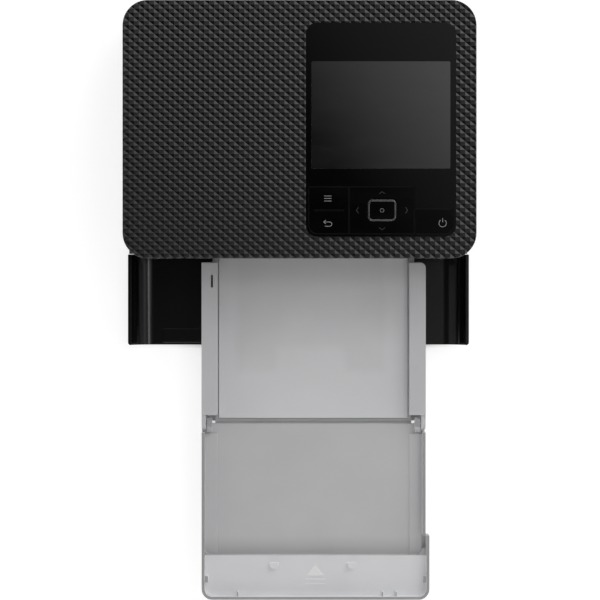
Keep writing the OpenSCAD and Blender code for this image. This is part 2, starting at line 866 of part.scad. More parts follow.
module front_door() {
    free_y = hinge_y - door_reach;
    near_y = hinge_y - door_clear;
    end_y = hinge_y - 0.2;
    color([0.05, 0.05, 0.055])
    difference() {
        union() {
            intersection() {
                difference() {
                    translate([0, end_y, door_under])
                        rotate([90, 0, 0])
                            linear_extrude(end_y - free_y)
                                difference() {
                                    door_section(0);
                                    translate([0, eps])
                                        door_section(door_t);
                                }
                    // only the curled ends reach up to the hinge's axis
                    block([-opening_x - 1, near_y, 0], [opening_x + 1, end_y + 1, 2 * corner_r]);
                }
                // small radius at the free edge's corners
                union() {
                    block([-half_w, free_y + door_corner_r, 0], [half_w, end_y + 1, 2 * corner_r]);
                    translate([0, free_y + body_d / 2, 0])
                        rounded_plate(body_w, body_d, door_corner_r, 0, 2 * corner_r);
                }
            }
            block([ledge_x0, free_y + 1.2, door_under + door_t - eps],
                [ledge_x1, free_y + ledge_l, door_under + door_t + ledge_t]);
            // knuckles round the hinge pins
            for (side = [-1, 1])
                translate([side * knuckle_x, 0, 0]) {
                    rod_x(-knuckle_l / 2, knuckle_l / 2, hinge_y, hinge_z, nose_r - 0.1);
                    block([-knuckle_l / 2, near_y - eps, door_under],
                        [knuckle_l / 2, hinge_y, door_under + door_t]);
                }
        }
        for (side = [-1, 1])
            rod_x(side * knuckle_x - knuckle_l, side * knuckle_x + knuckle_l,
                hinge_y, hinge_z, door_pin_r + shaft_gap);
    }
}

module front_door_pins() {
    color([0.7, 0.7, 0.72])
    door_pin_bores(door_pin_r);
}

module ink_door() {
    y0 = ink_door_y - ink_door_l / 2 + slide_gap;
    y1 = ink_door_y + ink_door_l / 2 - slide_gap;
    color([0.07, 0.07, 0.08])
    difference() {
        union() {
            block([half_w - wall, y0, ink_axis_z], [half_w, y1, ink_door_z + ink_door_h - slide_gap]);
            translate([ink_axis_x, y0, ink_axis_z])
                rotate([-90, 0, 0])
                    cylinder(r = ink_axis_r, h = y1 - y0);
            // ribs that keep the ribbon case home
            for (y = [-12, 12])
                block([half_w - wall - 1.2, ink_door_y + y - 0.8, spool_z - 5.5],
                    [half_w - wall + eps, ink_door_y + y + 0.8, spool_z + 6.5]);
        }
        translate([ink_axis_x, y0 - 1, ink_axis_z])
            rotate([-90, 0, 0])
                cylinder(r = ink_pin_r + shaft_gap, h = y1 - y0 + 2);
        // finger notch at the upper edge
        translate([half_w, ink_door_y, ink_door_z + ink_door_h])
            rotate([0, 90, 0])
                cylinder(r = 7, h = 1.6, center = true);
    }
}

module ink_door_pins() {
    reach = ink_pin_l / 2;
    color([0.7, 0.7, 0.72])
    for (y = [ink_door_y - ink_door_l / 2, ink_door_y + ink_door_l / 2])
        translate([ink_axis_x, y - reach + 0.1, ink_axis_z])
            rotate([-90, 0, 0])
                cylinder(r = ink_pin_r, h = ink_pin_l - 0.2);
}

// ---------- boards and sockets ----------

module main_board() {
    y0 = post_front_y + post_r + 1.5;
    y1 = post_rear_y - post_r - 1.5;
    color([0.05, 0.25, 0.12])
    difference() {
        union() {
            block([main_board_x0, y0, main_board_z], [main_board_x1, y1, main_board_top]);
            // processor, memory and drivers
            block([main_board_x0 + 4, -2, main_board_top - eps],
                [main_board_x0 + 16, 10, main_board_top + 1.2]);
            block([main_board_x0 + 5, 16, main_board_top - eps],
                [main_board_x0 + 14, 22, main_board_top + 1]);
            for (y = [26, 31])
                block([main_board_x0 + 6, y, main_board_top - eps],
                    [main_board_x0 + 11, y + 3.4, main_board_top + 0.9]);
        }
        at_main_bosses(main_board_z - 1, main_board_top + 1, 1.2);
    }
}

module card_slot() {
    color([0.7, 0.7, 0.72])
    difference() {
        block([-half_w + wall + 0.1, card_y - card_w / 2, main_board_z - card_h],
            [card_x1, card_y + card_w / 2, main_board_z]);
        block([-half_w, card_y - card_w / 2 + 0.8, main_board_z - card_h + 0.3],
            [card_x1 - 2, card_y + card_w / 2 - 0.8, main_board_z - 0.4]);
    }
}

module usb_port() {
    color([0.7, 0.7, 0.72])
    translate([-half_w + 0.6, usb_y, main_board_z - 1.7])
        rotate([90, 0, 90])
            difference() {
                linear_extrude(9)
                    rounded_rect(9, 2.9, 1.4);
                translate([0, 0, -1])
                    linear_extrude(8.5)
                        difference() {
                            rounded_rect(8.3, 2.3, 1.1);
                            square([6.6, 0.7], center = true);
                        }
            }
}

module power_inlet() {
    color([0.06, 0.06, 0.06])
    difference() {
        union() {
            block([inlet_x - 6, half_d - wall - 13, inlet_z - 6],
                [inlet_x + 6, half_d - wall - 0.1, inlet_z + 5]);
            translate([inlet_x, half_d - 0.4, inlet_z])
                rotate([90, 0, 0])
                    cylinder(r = inlet_r, h = wall + 1);
        }
        translate([inlet_x, half_d, inlet_z])
            rotate([90, 0, 0])
                difference() {
                    cylinder(r = inlet_bore_r, h = 11);
                    cylinder(r = 0.9, h = 12);
                }
    }
}

// ---------- chassis ----------

module chassis_side(x, flange_x) {
    difference() {
        union() {
            block([x, chassis_y0, floor_z], [x + plate_t, chassis_y1, chassis_top]);
            block([min(x, flange_x), chassis_y0 + flange_inset, floor_z],
                [max(x + plate_t, flange_x), chassis_y1 - flange_inset, floor_z + plate_t]);
        }
        at_flange_screws()
            cylinder(r = screw_r + screw_gap, h = body_h / 4);
        for (y = [platen_y, capstan_y])
            rod_x(x - 1, x + plate_t + 1, y, drive_z, shaft_r + shaft_gap);
        rod_x(x - 1, x + plate_t + 1, capstan_y, pinch_z, shaft_r + shaft_gap);
        rod_x(x - 1, x + plate_t + 1, head_pivot_y, head_pivot_z, shaft_r + shaft_gap);
        rod_x(x - 1, x + plate_t + 1, arm_pivot_y, arm_pivot_z, arm_shaft_r + 0.02);
    }
}

bracket_post_r = 2;
bracket_post_y = ribbon_motor_y - pinion_pitch_r - bracket_post_r - 1.8;
BRACKET_POSTS = [
    [bracket_post_y, bracket_top - 3.5], [bracket_post_y, bracket_z + 4],
    [takeup_y + takeup_pitch_r + bracket_post_r + 4, bracket_top - 3.5],
    [idler_y + 13, bracket_top - 11]
];

module chassis_left() {
    color([0.72, 0.73, 0.75])
    difference() {
        union() {
            chassis_side(left_x - plate_t, left_x + flange_w);
            // stud for the idler gear
            rod_x(shaft_x0, left_x - plate_t + eps, idler_y, drive_z, shaft_r);
        }
        for (y = [takeup_y, supply_y])
            rod_x(left_x - plate_t - 1, left_x + 1, y, spool_z, spool_shaft_r + shaft_gap);
    }
}

module chassis_right() {
    color([0.72, 0.73, 0.75])
    difference() {
        chassis_side(right_x, right_x - flange_w);
        // window that the ribbon case slides through
        block([right_x - 1, takeup_y - case_r - 1, case_z - 2.2],
            [right_x + plate_t + 1, supply_y + case_r + 1, spool_z + case_r + 1]);
    }
}

module motor_bracket() {
    color([0.72, 0.73, 0.75])
    difference() {
        union() {
            block([bracket_x - plate_t, bracket_post_y - 3.4, bracket_z],
                [bracket_x, idler_y + 16.5, bracket_top]);
            for (p = BRACKET_POSTS)
                rod_x(bracket_x - eps, left_x - plate_t, p[0], p[1], bracket_post_r);
        }
        rod_x(bracket_x - 2, bracket_x + 1, ribbon_motor_y, spool_z, 3);
        rod_x(bracket_x - 2, bracket_x + 1, idler_y, feed_motor_z, 3);
    }
}

module cassette_runner() {
    z1 = cassette_z - slide_gap;
    y0 = face_y + wall + 0.3;
    y1 = cassette_y1 + 0.6;
    color([0.08, 0.08, 0.085])
    union() {
        block([inner_x0 - 2.2, y0, z1 - 1.5], [inner_x1 + 2.2, y1, z1]);
        // side walls, each with a rib that runs in the cassette's groove
        for (side = [0, 1])
            translate([side ? inner_x1 + 0.4 : inner_x0 - 0.4, 0, 0])
                mirror([side ? 0 : 1, 0, 0]) {
                    block([0, y0, z1 - eps], [1.8, y1, side_top]);
                    block([-groove_depth, y0, groove_z + 0.4], [eps, y1, groove_z + groove_h - 0.4]);
                }
        for (x = [inner_x0 + 4, inner_x1 - 6])
            block([x, y0 + 4, floor_z], [x + 2, y1 - 4, z1 - 1.5 + eps]);
    }
}

module paper_guide() {
    x0 = left_x + 0.2;
    x1 = right_x - 0.2;
    y0 = cassette_y1 + 1;
    y1 = half_d - wall - 0.5;
    clear = 1.2;
    color([0.09, 0.09, 0.095])
    difference() {
        union() {
            // ramp that lifts the sheet off the stack
            translate([x0, 0, 0])
                rotate([90, 0, 90])
                    linear_extrude(x1 - x0)
                        polygon([
                            [y0, drive_z - 3], [y0 + guide_t, drive_z - 3],
                            [y0 + guide_t, drive_z - 1.6], [platen_y - 6.6, guide_top - guide_t],
                            [platen_y - 6.6, guide_top], [platen_y - 8.2, guide_top],
                            [y0, drive_z - 1]
                        ]);
            block([x0, platen_y + 6.6, guide_top - guide_t], [x1, capstan_y - 5.5, guide_top]);
            block([x0, capstan_y + 5.5, guide_top - guide_t], [x1, y1, guide_top]);
            // cheeks that are fixed to the chassis plates
            for (x = [x0, x1 - 1.8])
                block([x, y0, drive_z - 8], [x + 1.8, y1, guide_top]);
        }
        rod_x(x0 - 1, x1 + 1, platen_y, drive_z, shaft_r + clear);
        rod_x(x0 - 1, x1 + 1, capstan_y, drive_z, shaft_r + clear);
        rod_x(x0 + 2, x1 - 2, platen_y, drive_z, platen_r + 0.4);
    }
}

// ---------- paper drive ----------

module pickup_shaft() {
    color([0.75, 0.76, 0.78])
    rod_x(left_x - plate_t - 0.5, right_x + plate_t + 0.5, arm_pivot_y, arm_pivot_z, arm_shaft_r);
}

module pickup_arm() {
    x0 = cassette_x - pickup_w / 2 - 3;
    x1 = cassette_x + pickup_w / 2 + 3;
    reach = norm([pickup_y - arm_pivot_y, pickup_z - arm_pivot_z]);
    slope = atan2(pickup_z - arm_pivot_z, pickup_y - arm_pivot_y);
    color([0.15, 0.15, 0.16])
    difference() {
        union() {
            for (x = [x0, x1 - 2])
                translate([x, arm_pivot_y, arm_pivot_z])
                    rotate([slope, 0, 0]) {
                        rod_x(0, 2, 0, 0, 3.5);
                        rod_x(0, 2, reach, 0, 2.8);
                        block([0, 0, -2.8], [2, reach, 2.8]);
                    }
            rod_x(x0, x1, arm_pivot_y, arm_pivot_z, 3.5);
        }
        rod_x(x0 - 1, x1 + 1, arm_pivot_y, arm_pivot_z, arm_shaft_r + shaft_gap);
        rod_x(x0 - 1, x1 + 1, pickup_y, pickup_z, shaft_r + shaft_gap);
    }
}

module pickup_roller() {
    x0 = cassette_x - pickup_w / 2;
    color([0.25, 0.25, 0.26])
    union() {
        for (x = [x0, x0 + pickup_w - 11])
            rod_x(x, x + 11, pickup_y, pickup_z, pickup_r);
        rod_x(x0 - 0.6, x0 + pickup_w + 0.6, pickup_y, pickup_z, 3);
        rod_x(x0 - 3.2, x0 + pickup_w + 3.2, pickup_y, pickup_z, shaft_r);
    }
}

module platen_shaft() {
    color([0.75, 0.76, 0.78])
    rod_x(shaft_x0, shaft_x1, platen_y, drive_z, shaft_r);
}

module platen_roller() {
    color([0.14, 0.14, 0.15])
    difference() {
        rod_x(roller_x0, roller_x1, platen_y, drive_z, platen_r);
        rod_x(roller_x0 - 1, roller_x1 + 1, platen_y, drive_z, shaft_r);
    }
}

module platen_gear() {
    color([0.9, 0.88, 0.8])
    gear_x(drive_teeth, platen_y, drive_z, shaft_r);
}

module idler_gear() {
    color([0.9, 0.88, 0.8])
    gear_x(drive_teeth, idler_y, drive_z, shaft_r + shaft_gap,
        drive_teeth % 2 == 0 ? 180 / drive_teeth : 0);
}

module capstan_gear() {
    color([0.9, 0.88, 0.8])
    gear_x(drive_teeth, capstan_y, drive_z, shaft_r);
}

module capstan_roller() {
    color([0.75, 0.76, 0.78])
    union() {
        rod_x(shaft_x0, shaft_x1, capstan_y, drive_z, shaft_r);
        rod_x(roller_x0, roller_x1, capstan_y, drive_z, capstan_r);
    }
}

module pinch_roller() {
    color([0.8, 0.8, 0.82])
    union() {
        rod_x(left_x - plate_t - 1, right_x + plate_t + 1, capstan_y, pinch_z, shaft_r);
        rod_x(roller_x0, roller_x1, capstan_y, pinch_z, pinch_r);
    }
}

// ---------- print head ----------

module head_frame() {
    ear_x0 = left_x + 1.5;
    ear_x1 = right_x - 1.5;
    color([0.72, 0.73, 0.75])
    union() {
        block([ear_x0, platen_y - 7, head_plate_z], [ear_x1, head_pivot_y + 4, head_plate_z + 1.6]);
        for (x = [ear_x0, ear_x1 - 1.5])
            block([x, head_pivot_y - 4, head_pivot_z - 3.2], [x + 1.5, head_pivot_y + 4, head_plate_z + eps]);
        rod_x(left_x - plate_t - 0.5, ear_x0 + eps, head_pivot_y, head_pivot_z, shaft_r);
        rod_x(ear_x1 - eps, right_x + plate_t + 0.5, head_pivot_y, head_pivot_z, shaft_r);
    }
}

sink_d = 12;

module heat_sink() {
    color([0.78, 0.79, 0.8])
    difference() {
        block([head_x0, platen_y - sink_d / 2 - 0.6, sink_z],
            [head_x1, platen_y + sink_d / 2 - 0.6, head_plate_z]);
        for (y = [-3.6, 0, 3.6])
            block([head_x0 - 1, platen_y - 0.6 + y - 0.9, sink_z + 4],
                [head_x1 + 1, platen_y - 0.6 + y + 0.9, head_plate_z - 2]);
    }
}

module thermal_head() {
    color([0.85, 0.83, 0.78])
    union() {
        block([head_x0, platen_y - 5.4, head_nose_z + 1], [head_x1, platen_y + 4.2, sink_z]);
        translate([head_x0, platen_y - 0.8, head_nose_z + 1.2])
            rotate([0, 90, 0])
                cylinder(r = 1.2, h = head_x1 - head_x0);
    }
}

// ---------- motors ----------

module motor_body(x1, y, z, r, l, shaft) {
    difference() {
        union() {
            rod_x(x1 - l, x1, y, z, r);
            rod_x(x1 - eps, x1 + plate_t, y, z, 2.6);
        }
        rod_x(x1 - 4, x1 + plate_t + 1, y, z, shaft + shaft_gap);
    }
}

motor_shaft_r = 1;

module feed_motor() {
    color([0.5, 0.5, 0.52])
    motor_body(bracket_x - plate_t, idler_y, feed_motor_z, feed_motor_r, feed_motor_l, motor_shaft_r);
}

module ribbon_motor() {
    color([0.5, 0.5, 0.52])
    motor_body(bracket_x - plate_t, ribbon_motor_y, spool_z, ribbon_motor_r, ribbon_motor_l, motor_shaft_r);
}

module pinion(y, z, phase) {
    union() {
        gear_x(pinion_teeth, y, z, motor_shaft_r / 2, phase);
        rod_x(bracket_x - plate_t - 3.5, gear_x1, y, z, motor_shaft_r);
    }
}

module feed_pinion() {
    // meshes from above: a gap faces the idler's tooth below it
    idler_top = 90 - (drive_teeth % 2 == 0 ? 180 / drive_teeth : 0);
    off = idler_top / (360 / drive_teeth) - round(idler_top / (360 / drive_teeth));
    color([0.85, 0.75, 0.45])
    pinion(idler_y, feed_motor_z, -90 + 180 / pinion_teeth + off * 360 / pinion_teeth);
}

module ribbon_pinion() {
    color([0.85, 0.75, 0.45])
    pinion(ribbon_motor_y, spool_z, 180 / pinion_teeth);
}

module takeup_gear() {
    color([0.9, 0.88, 0.8])
    gear_x(takeup_teeth, takeup_y, spool_z, spool_shaft_r, takeup_teeth % 2 == 0 ? 0 : 180 / takeup_teeth);
}

// ---------- ribbon cassette ----------

module ribbon_case() {
    bridge_z0 = film_z + 0.25;
    bridge_z1 = head_nose_z - 0.3;
    color([0.2, 0.2, 0.22])
    difference() {
        union() {
            // two open tubes round the spools
            for (y = [takeup_y, supply_y])
                difference() {
                    rod_x(case_x0, case_x1, y, spool_z, case_r);
                    rod_x(case_x0 + case_end_t, case_x1 - case_end_t, y, spool_z, case_r - case_t);
                    block([case_x0 + case_end_t, y - 4.6, spool_z - case_r - 1],
                        [case_x1 - case_end_t, y + 4.6, spool_z]);
                }
            // end walls join the tubes below the print head
            for (x = [case_x0, case_x1 - case_end_t])
                block([x, takeup_y, bridge_z0], [x + case_end_t, supply_y, bridge_z1]);
            for (x = [case_x0, case_x1 - case_end_t], y = [takeup_y, supply_y])
                block([x, y - 6, bridge_z0], [x + case_end_t, y + 6, spool_z]);
            // grip that is pulled from the side
            block([case_x1 - eps, takeup_y + 2, spool_z - 7], [case_x1 + 5, supply_y - 2, spool_z + 7]);
            block([case_x1 + 5 - eps, platen_y - 12, spool_z - 5],
                [half_w - wall - 2.6, platen_y + 12, spool_z + 5]);
        }
        for (y = [takeup_y, supply_y])
            rod_x(case_x0 - 1, case_x1 + 1, y, spool_z, spool_shaft_r + shaft_gap);
        // finger hollows above and below the grip
        for (z = [-5, 5])
            translate([case_x1 + 10, platen_y, spool_z + z])
                rotate([90, 0, 0])
                    cylinder(r = 3, h = 30, center = true);
    }
}

module spool(y, wound_r, x0) {
    union() {
        rod_x(x0, case_x1 + 0.4, y, spool_z, spool_shaft_r);
        rod_x(case_x0 + case_end_t + 0.4, case_x1 - case_end_t - 0.4, y, spool_z, 3.2);
        for (x = [bay_x0 - 3, bay_x1 + 2])
            rod_x(x, x + 1, y, spool_z, spool_r);
        rod_x(bay_x0 - 2 - eps, bay_x1 + 2 + eps, y, spool_z, wound_r);
    }
}

module takeup_spool() {
    color([0.85, 0.85, 0.87])
    spool(takeup_y, 4.6, shaft_x0);
}

module supply_spool() {
    color([0.85, 0.85, 0.87])
    spool(supply_y, spool_r - 0.6, left_x - plate_t - 0.5);
}

module ribbon_film() {
    dip = film_z + film_t / 2;
    path = [
        [takeup_y + 1, spool_z - 4.6 - 0.3], [takeup_y + 4.2, dip],
        [supply_y - 4.2, dip], [supply_y - 1, spool_z - spool_r + 0.6 - 0.3]
    ];
    color([0.25, 0.22, 0.1])
    translate([bay_x0 - 1, 0, 0])
        rotate([90, 0, 90])
            linear_extrude(paper_w + 3)
                polygon(concat(
                    [for (p = path) [p[0], p[1] - film_t / 2]],
                    [for (i = [3:-1:0]) [path[i][0], path[i][1] + film_t / 2]]
                ));
}

// ---------- fan ----------

module fan_housing() {
    color([0.06, 0.06, 0.06])
    difference() {
        block([fan_x, fan_y - fan_size / 2, fan_z - fan_size / 2],
            [fan_x + fan_t, fan_y + fan_size / 2, fan_z + fan_size / 2]);
        difference() {
            rod_x(fan_x - 1, fan_x + fan_t + 1, fan_y, fan_z, fan_size / 2 - 1.2);
            // stator plate on three spokes
            rod_x(fan_x, fan_x + 1.5, fan_y, fan_z, 6);
            for (a = [90, 210, 330])
                translate([fan_x, fan_y, fan_z])
                    rotate([a, 0, 0])
                        block([0, 0, -1], [1.5, fan_size / 2, 1]);
        }
        rod_x(fan_x - 1, fan_x + 2, fan_y, fan_z, shaft_r + shaft_gap);
        for (y = [-1, 1], z = [-1, 1])
            rod_x(fan_x - 1, fan_x + fan_t + 1, fan_y + y * (fan_size / 2 - 2.6),
                fan_z + z * (fan_size / 2 - 2.6), 1.2);
    }
}

module fan_rotor() {
    color([0.1, 0.1, 0.1])
    union() {
        rod_x(fan_x + 0.3, fan_x + 2, fan_y, fan_z, shaft_r);
        rod_x(fan_x + 1.9, fan_x + fan_t - 0.6, fan_y, fan_z, 6.2);
        for (k = [0:6])
            translate([fan_x + fan_t / 2 + 0.6, fan_y, fan_z])
                rotate([k * 360 / 7, 0, 0])
                    translate([0, 5.5, 0])
                        rotate([0, 50, 0])
                            block([-2.6, 0, -0.45], [2.6, fan_size / 2 - 7.6, 0.45]);
    }
}

// ---------- fasteners ----------

module screws() {
    color([0.6, 0.6, 0.62])
    union() {
        at_posts() {
            translate([0, 0, well_top - head_t])
                cylinder(r = screw_head_r, h = head_t);
            translate([0, 0, well_top - eps])
                cylinder(r = screw_r, h = cover_top - 2 - well_top);
        }
        at_flange_screws() {
            translate([0, 0, foot_h])
                cylinder(r = screw_head_r, h = head_t);
            translate([0, 0, foot_h + head_t - eps])
                cylinder(r = screw_r, h = 4.4);
        }
    }
}

// ---------- paper cassette ----------

module cassette_rail(x0, x1) {
    t = cassette_t;
    y0 = cover_hinge_y + lug_r + 1.2;
    difference() {
        block([x0, y0, cassette_z], [x1, shoulder_y, rail_z]);
        block([x0 + t, y0 + t, cassette_z - 1], [x1 - t, shoulder_y - t, rail_z - t]);
    }
}

module cassette_base() {
    t = cassette_t;
    color([0.66, 0.66, 0.67, 0.9])
    difference() {
        union() {
            difference() {
                block([outer_x0, base_y0, cassette_z], [outer_x1, shoulder_y, end_top]);
                block([bay_x0, bay_y0, bay_floor], [bay_x1, shoulder_y + 1, rail_z]);
                block([outer_x0 - 1, base_y0 - 1, bay_floor],
                    [bay_x0 - t, cover_hinge_y + lug_r + 1.5, rail_z]);
                block([bay_x1 + t, base_y0 - 1, bay_floor],
                    [outer_x1 + 1, cover_hinge_y + lug_r + 1.5, rail_z]);
            }
            cassette_rail(outer_x0, bay_x0);
            cassette_rail(bay_x1, outer_x1);
            difference() {
                block([inner_x0, shoulder_y - eps, cassette_z], [inner_x1, cassette_y1, side_top]);
                block([bay_x0, shoulder_y - 1, bay_floor], [bay_x1, bay_y1, body_h]);
                block([bay_x0, bay_y1 - 1, end_top], [bay_x1, cassette_y1 + 1, body_h]);
                // grooves that run on the printer's ribs
                for (x = [inner_x0 - 1, inner_x1 - groove_depth - 0.3])
                    block([x, shoulder_y + 3.2, groove_z],
                        [x + groove_depth + 1.3, cassette_y1 + 1, groove_z + groove_h]);
            }
            // ledge round three sides that the inner lid rests on
            for (x = [bay_x0 - eps, bay_x1 - 0.8])
                block([x, bay_y0 - eps, lid_under - 1.3], [x + 0.8 + eps, shoulder_y + 22, lid_under - 0.1]);
            block([bay_x0 - eps, bay_y0 - eps, lid_under - 1.3], [bay_x1 + eps, bay_y0 + 0.8, lid_under - 0.1]);
            // ledge that the output cover's inner edge rests over
            block([bay_x0 - t, base_y0 - 1.8, cover_z - 3.6], [bay_x1 + t, base_y0 + eps, cover_z - 0.4]);
            // lugs for the output cover
            for (x = [outer_x0, outer_x1 - lug_t]) {
                rod_x(x, x + lug_t, cover_hinge_y, cover_hinge_z, lug_r);
                block([x, cover_hinge_y, cassette_z], [x + lug_t, cover_hinge_y + lug_r + 3,
                    cover_hinge_z + lug_r]);
            }
            // ears for the lift plate
            for (x = [lift_x0 - 3.4, lift_x1 + 1.4])
                block([x, lift_axis_y - 2, bay_floor - eps],
                    [x + 2, lift_axis_y + 2, lift_z + lift_t / 2 + lift_ear]);
        }
        // slot in the left rail and rounded shoulder of the right one
        block([outer_x0 + 5, shoulder_y - 13, rail_z - 2], [outer_x0 + 6, shoulder_y - 6.5, rail_z + 1]);
        translate([outer_x1 - 3, shoulder_y - 3, 0])
            difference() {
                block([0, 0, cassette_z - 1], [4, 4, rail_z + 1]);
                cylinder(r = 3, h = body_h);
            }
        for (x = [outer_x0, outer_x1 - lug_t])
            rod_x(x - 1, x + lug_t + 1, cover_hinge_y, cover_hinge_z, lug_pin_r + 0.02);
        rod_x(lift_x0 - 4, lift_x1 + 4, lift_axis_y, lift_z + lift_t / 2, lift_pin_r + shaft_gap);
    }
}

module inner_lid() {
    gap = 0.4;
    color([0.72, 0.72, 0.73, 0.8])
    difference() {
        block([bay_x0 + gap, bay_y0 + gap, lid_under], [bay_x1 - gap, lid_y1, lid_z]);
        // cut-out over the pickup roller
        block([cassette_x - 20, lid_y1 - 6, lid_under - 1], [cassette_x + 20, lid_y1 + 1, lid_z + 1]);
    }
}

module lift_plate() {
    tab_x0 = lift_x0 + 22;
    tab_x1 = tab_x0 + 36;
    tab_y = lift_y0 + 12;
    color([0.5, 0.5, 0.51])
    difference() {
        union() {
            block([lift_x0, lift_y0, lift_z], [lift_x1, lift_y1, lift_z + lift_t]);
            rod_x(lift_x0 - 3, lift_x1 + 3, lift_axis_y, lift_z + lift_t / 2, lift_pin_r);
        }
        // notch with a pointed end, cut between its hinges
        translate([0, 0, lift_z - 1])
            linear_extrude(lift_t + 2)
                polygon([
                    [tab_x0, lift_y0 - 1], [tab_x1, lift_y0 - 1], [tab_x1, tab_y],
                    [tab_x0 + 22, tab_y], [tab_x0 + 17, tab_y + 4.5], [tab_x0 + 12, tab_y],
                    [tab_x0, tab_y]
                ]);
        // paper end stops leave two slots at the inner end
        for (x = [lift_x0 + 14, lift_x1 - 20])
            block([x, lift_y1 - 9, lift_z - 1], [x + 6, lift_y1 + 1, lift_z + lift_t + 1]);
    }
}

// Outline of the output cover, drawn in by an inset
module cover_outline(inset) {
    w = outer_x1 - outer_x0 - 2 * inset;
    mid = (outer_x0 + outer_x1) / 2;
    r = cover_r - inset;
    difference() {
        union() {
            translate([mid, cover_y0 + inset + w / 2])
                rounded_rect(w, w, r);
            translate([mid + cover_step, cover_y0 + inset + w / 2])
                intersection() {
                    rounded_rect(w, w, r);
                    translate([-w / 2, -w / 2])
                        square([w, cover_step_y - cover_y0 - inset]);
                }
        }
        translate([outer_x0 - 10, cover_y1])
            square([body_w, body_w]);
    }
}

module output_cover() {
    t = cassette_t;
    plate = 1.8;
    lip_z = cover_z + plate + lip_rise;
    recess_r = 3.7;
    color([0.68, 0.68, 0.69, 0.9])
    difference() {
        union() {
            difference() {
                translate([0, 0, cover_z])
                    linear_extrude(rim_h)
                        cover_outline(0);
                translate([0, 0, cover_z + plate])
                    linear_extrude(rim_h)
                        cover_outline(t);
                block([outer_x0 - 1, rim_y1, cover_z + plate], [outer_x1 + 3, cover_y1 + 1, body_h]);
            }
            // raised lip that carries the stops, behind the recess's rounded corners
            translate([0, 0, cover_z + plate - eps])
                linear_extrude(lip_rise + eps)
                    difference() {
                        intersection() {
                            cover_outline(t - eps);
                            translate([outer_x0, cover_y0])
                                square([body_w, lip_l + recess_r]);
                        }
                        translate([(outer_x0 + outer_x1) / 2, lip_y1 + recess_r + 5])
                            rounded_rect(outer_x1 - outer_x0 - 2 * t, 2 * recess_r + 10, recess_r);
                    }
            for (x = [cassette_x - 21, cassette_x + 20.2])
                translate([x, cover_y0 + 18.5, lip_z - eps]) {
                    intersection() {
                        cylinder(r = 2.4, h = 2.2);
                        block([-3, -3, 0], [3, 0.8, 3]);
                    }
                }
            // side strips that the sheet's edges lie on
            block([outer_x0 + t - eps, lip_y1 - eps, cover_z + plate - eps],
                [bay_x0 - 0.4, rim_y1 - 1, cover_z + plate + 1]);
            block([bay_x1 + 0.4, lip_y1 - eps, cover_z + plate - eps],
                [outer_x1 - t + eps, rim_y1 - 1, cover_z + plate + 1]);
            // catches that clip over the closed base
            for (p = [[outer_x0 + t - eps, 0], [outer_x1 + cover_step - t - 1.8 + eps, 0]])
                block([p[0], cover_y0 + 9, lip_z - eps], [p[0] + 1.8, cover_y0 + 12.4, cover_z + rim_h - 1]);
            // short ribs against the end wall
            for (x = [-40, 36.4, 43.6])
                block([cassette_x + x - 0.35, cover_y0 + t - eps, lip_z - eps],
                    [cassette_x + x + 0.35, cover_y0 + t + 2.6, cover_z + rim_h - 1]);
            // ears on the hinge
            for (x = [outer_x0 + lug_t + 0.3, outer_x1 - lug_t - 0.3 - ear_t]) {
                rod_x(x, x + ear_t, cover_hinge_y, cover_hinge_z, lug_r - 0.2);
                block([x, rim_y1, cover_z + eps], [x + ear_t, cover_hinge_y, cover_hinge_z]);
            }
        }
        // hollow under the lip keeps its wall even
        translate([0, 0, cover_z - 1])
            linear_extrude(lip_rise + 1)
                intersection() {
                    cover_outline(2 * t);
                    translate([outer_x0, cover_y0])
                        square([body_w, lip_l - plate]);
                }
        for (x = [outer_x0, outer_x1 - lug_t - ear_t - 1])
            rod_x(x, x + lug_t + ear_t + 1, cover_hinge_y, cover_hinge_z, lug_pin_r + shaft_gap);
    }
}

module output_cover_pins() {
    color([0.7, 0.7, 0.72])
    for (x = [outer_x0 + 0.4, outer_x1 - lug_t - ear_t - 0.3])
        rod_x(x, x + lug_t + ear_t - 0.1, cover_hinge_y, cover_hinge_z, lug_pin_r);
}

base_shell();
rubber_feet();
rear_panel();
front_frame();
top_cover();
control_panel();
display_window();
display_module();
key_board();
rocker_key();
nav_pad();
nav_key();
select_key();
select_ring();
power_key();
front_door();
front_door_pins();
ink_door();
ink_door_pins();
main_board();
card_slot();
usb_port();
power_inlet();
chassis_left();
chassis_right();
motor_bracket();
cassette_runner();
paper_guide();
pickup_shaft();
pickup_arm();
pickup_roller();
platen_shaft();
platen_roller();
platen_gear();
capstan_roller();
capstan_gear();
idler_gear();
pinch_roller();
head_frame();
heat_sink();
thermal_head();
feed_motor();
feed_pinion();
ribbon_motor();
ribbon_pinion();
takeup_gear();
ribbon_case();
takeup_spool();
supply_spool();
ribbon_film();
fan_housing();
fan_rotor();
screws();
cassette_base();
inner_lid();
lift_plate();
output_cover();
output_cover_pins();
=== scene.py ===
"""Compact photo printer: the pieces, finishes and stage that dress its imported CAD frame.

Every length is in millimetres until a mesh or node is made from it, but for
the stage, whose lengths are in metres. +X is to the printer's right, the front
faces -Y and +Z is up. The origin lies on the table under the body's middle.
"""
import json
import math

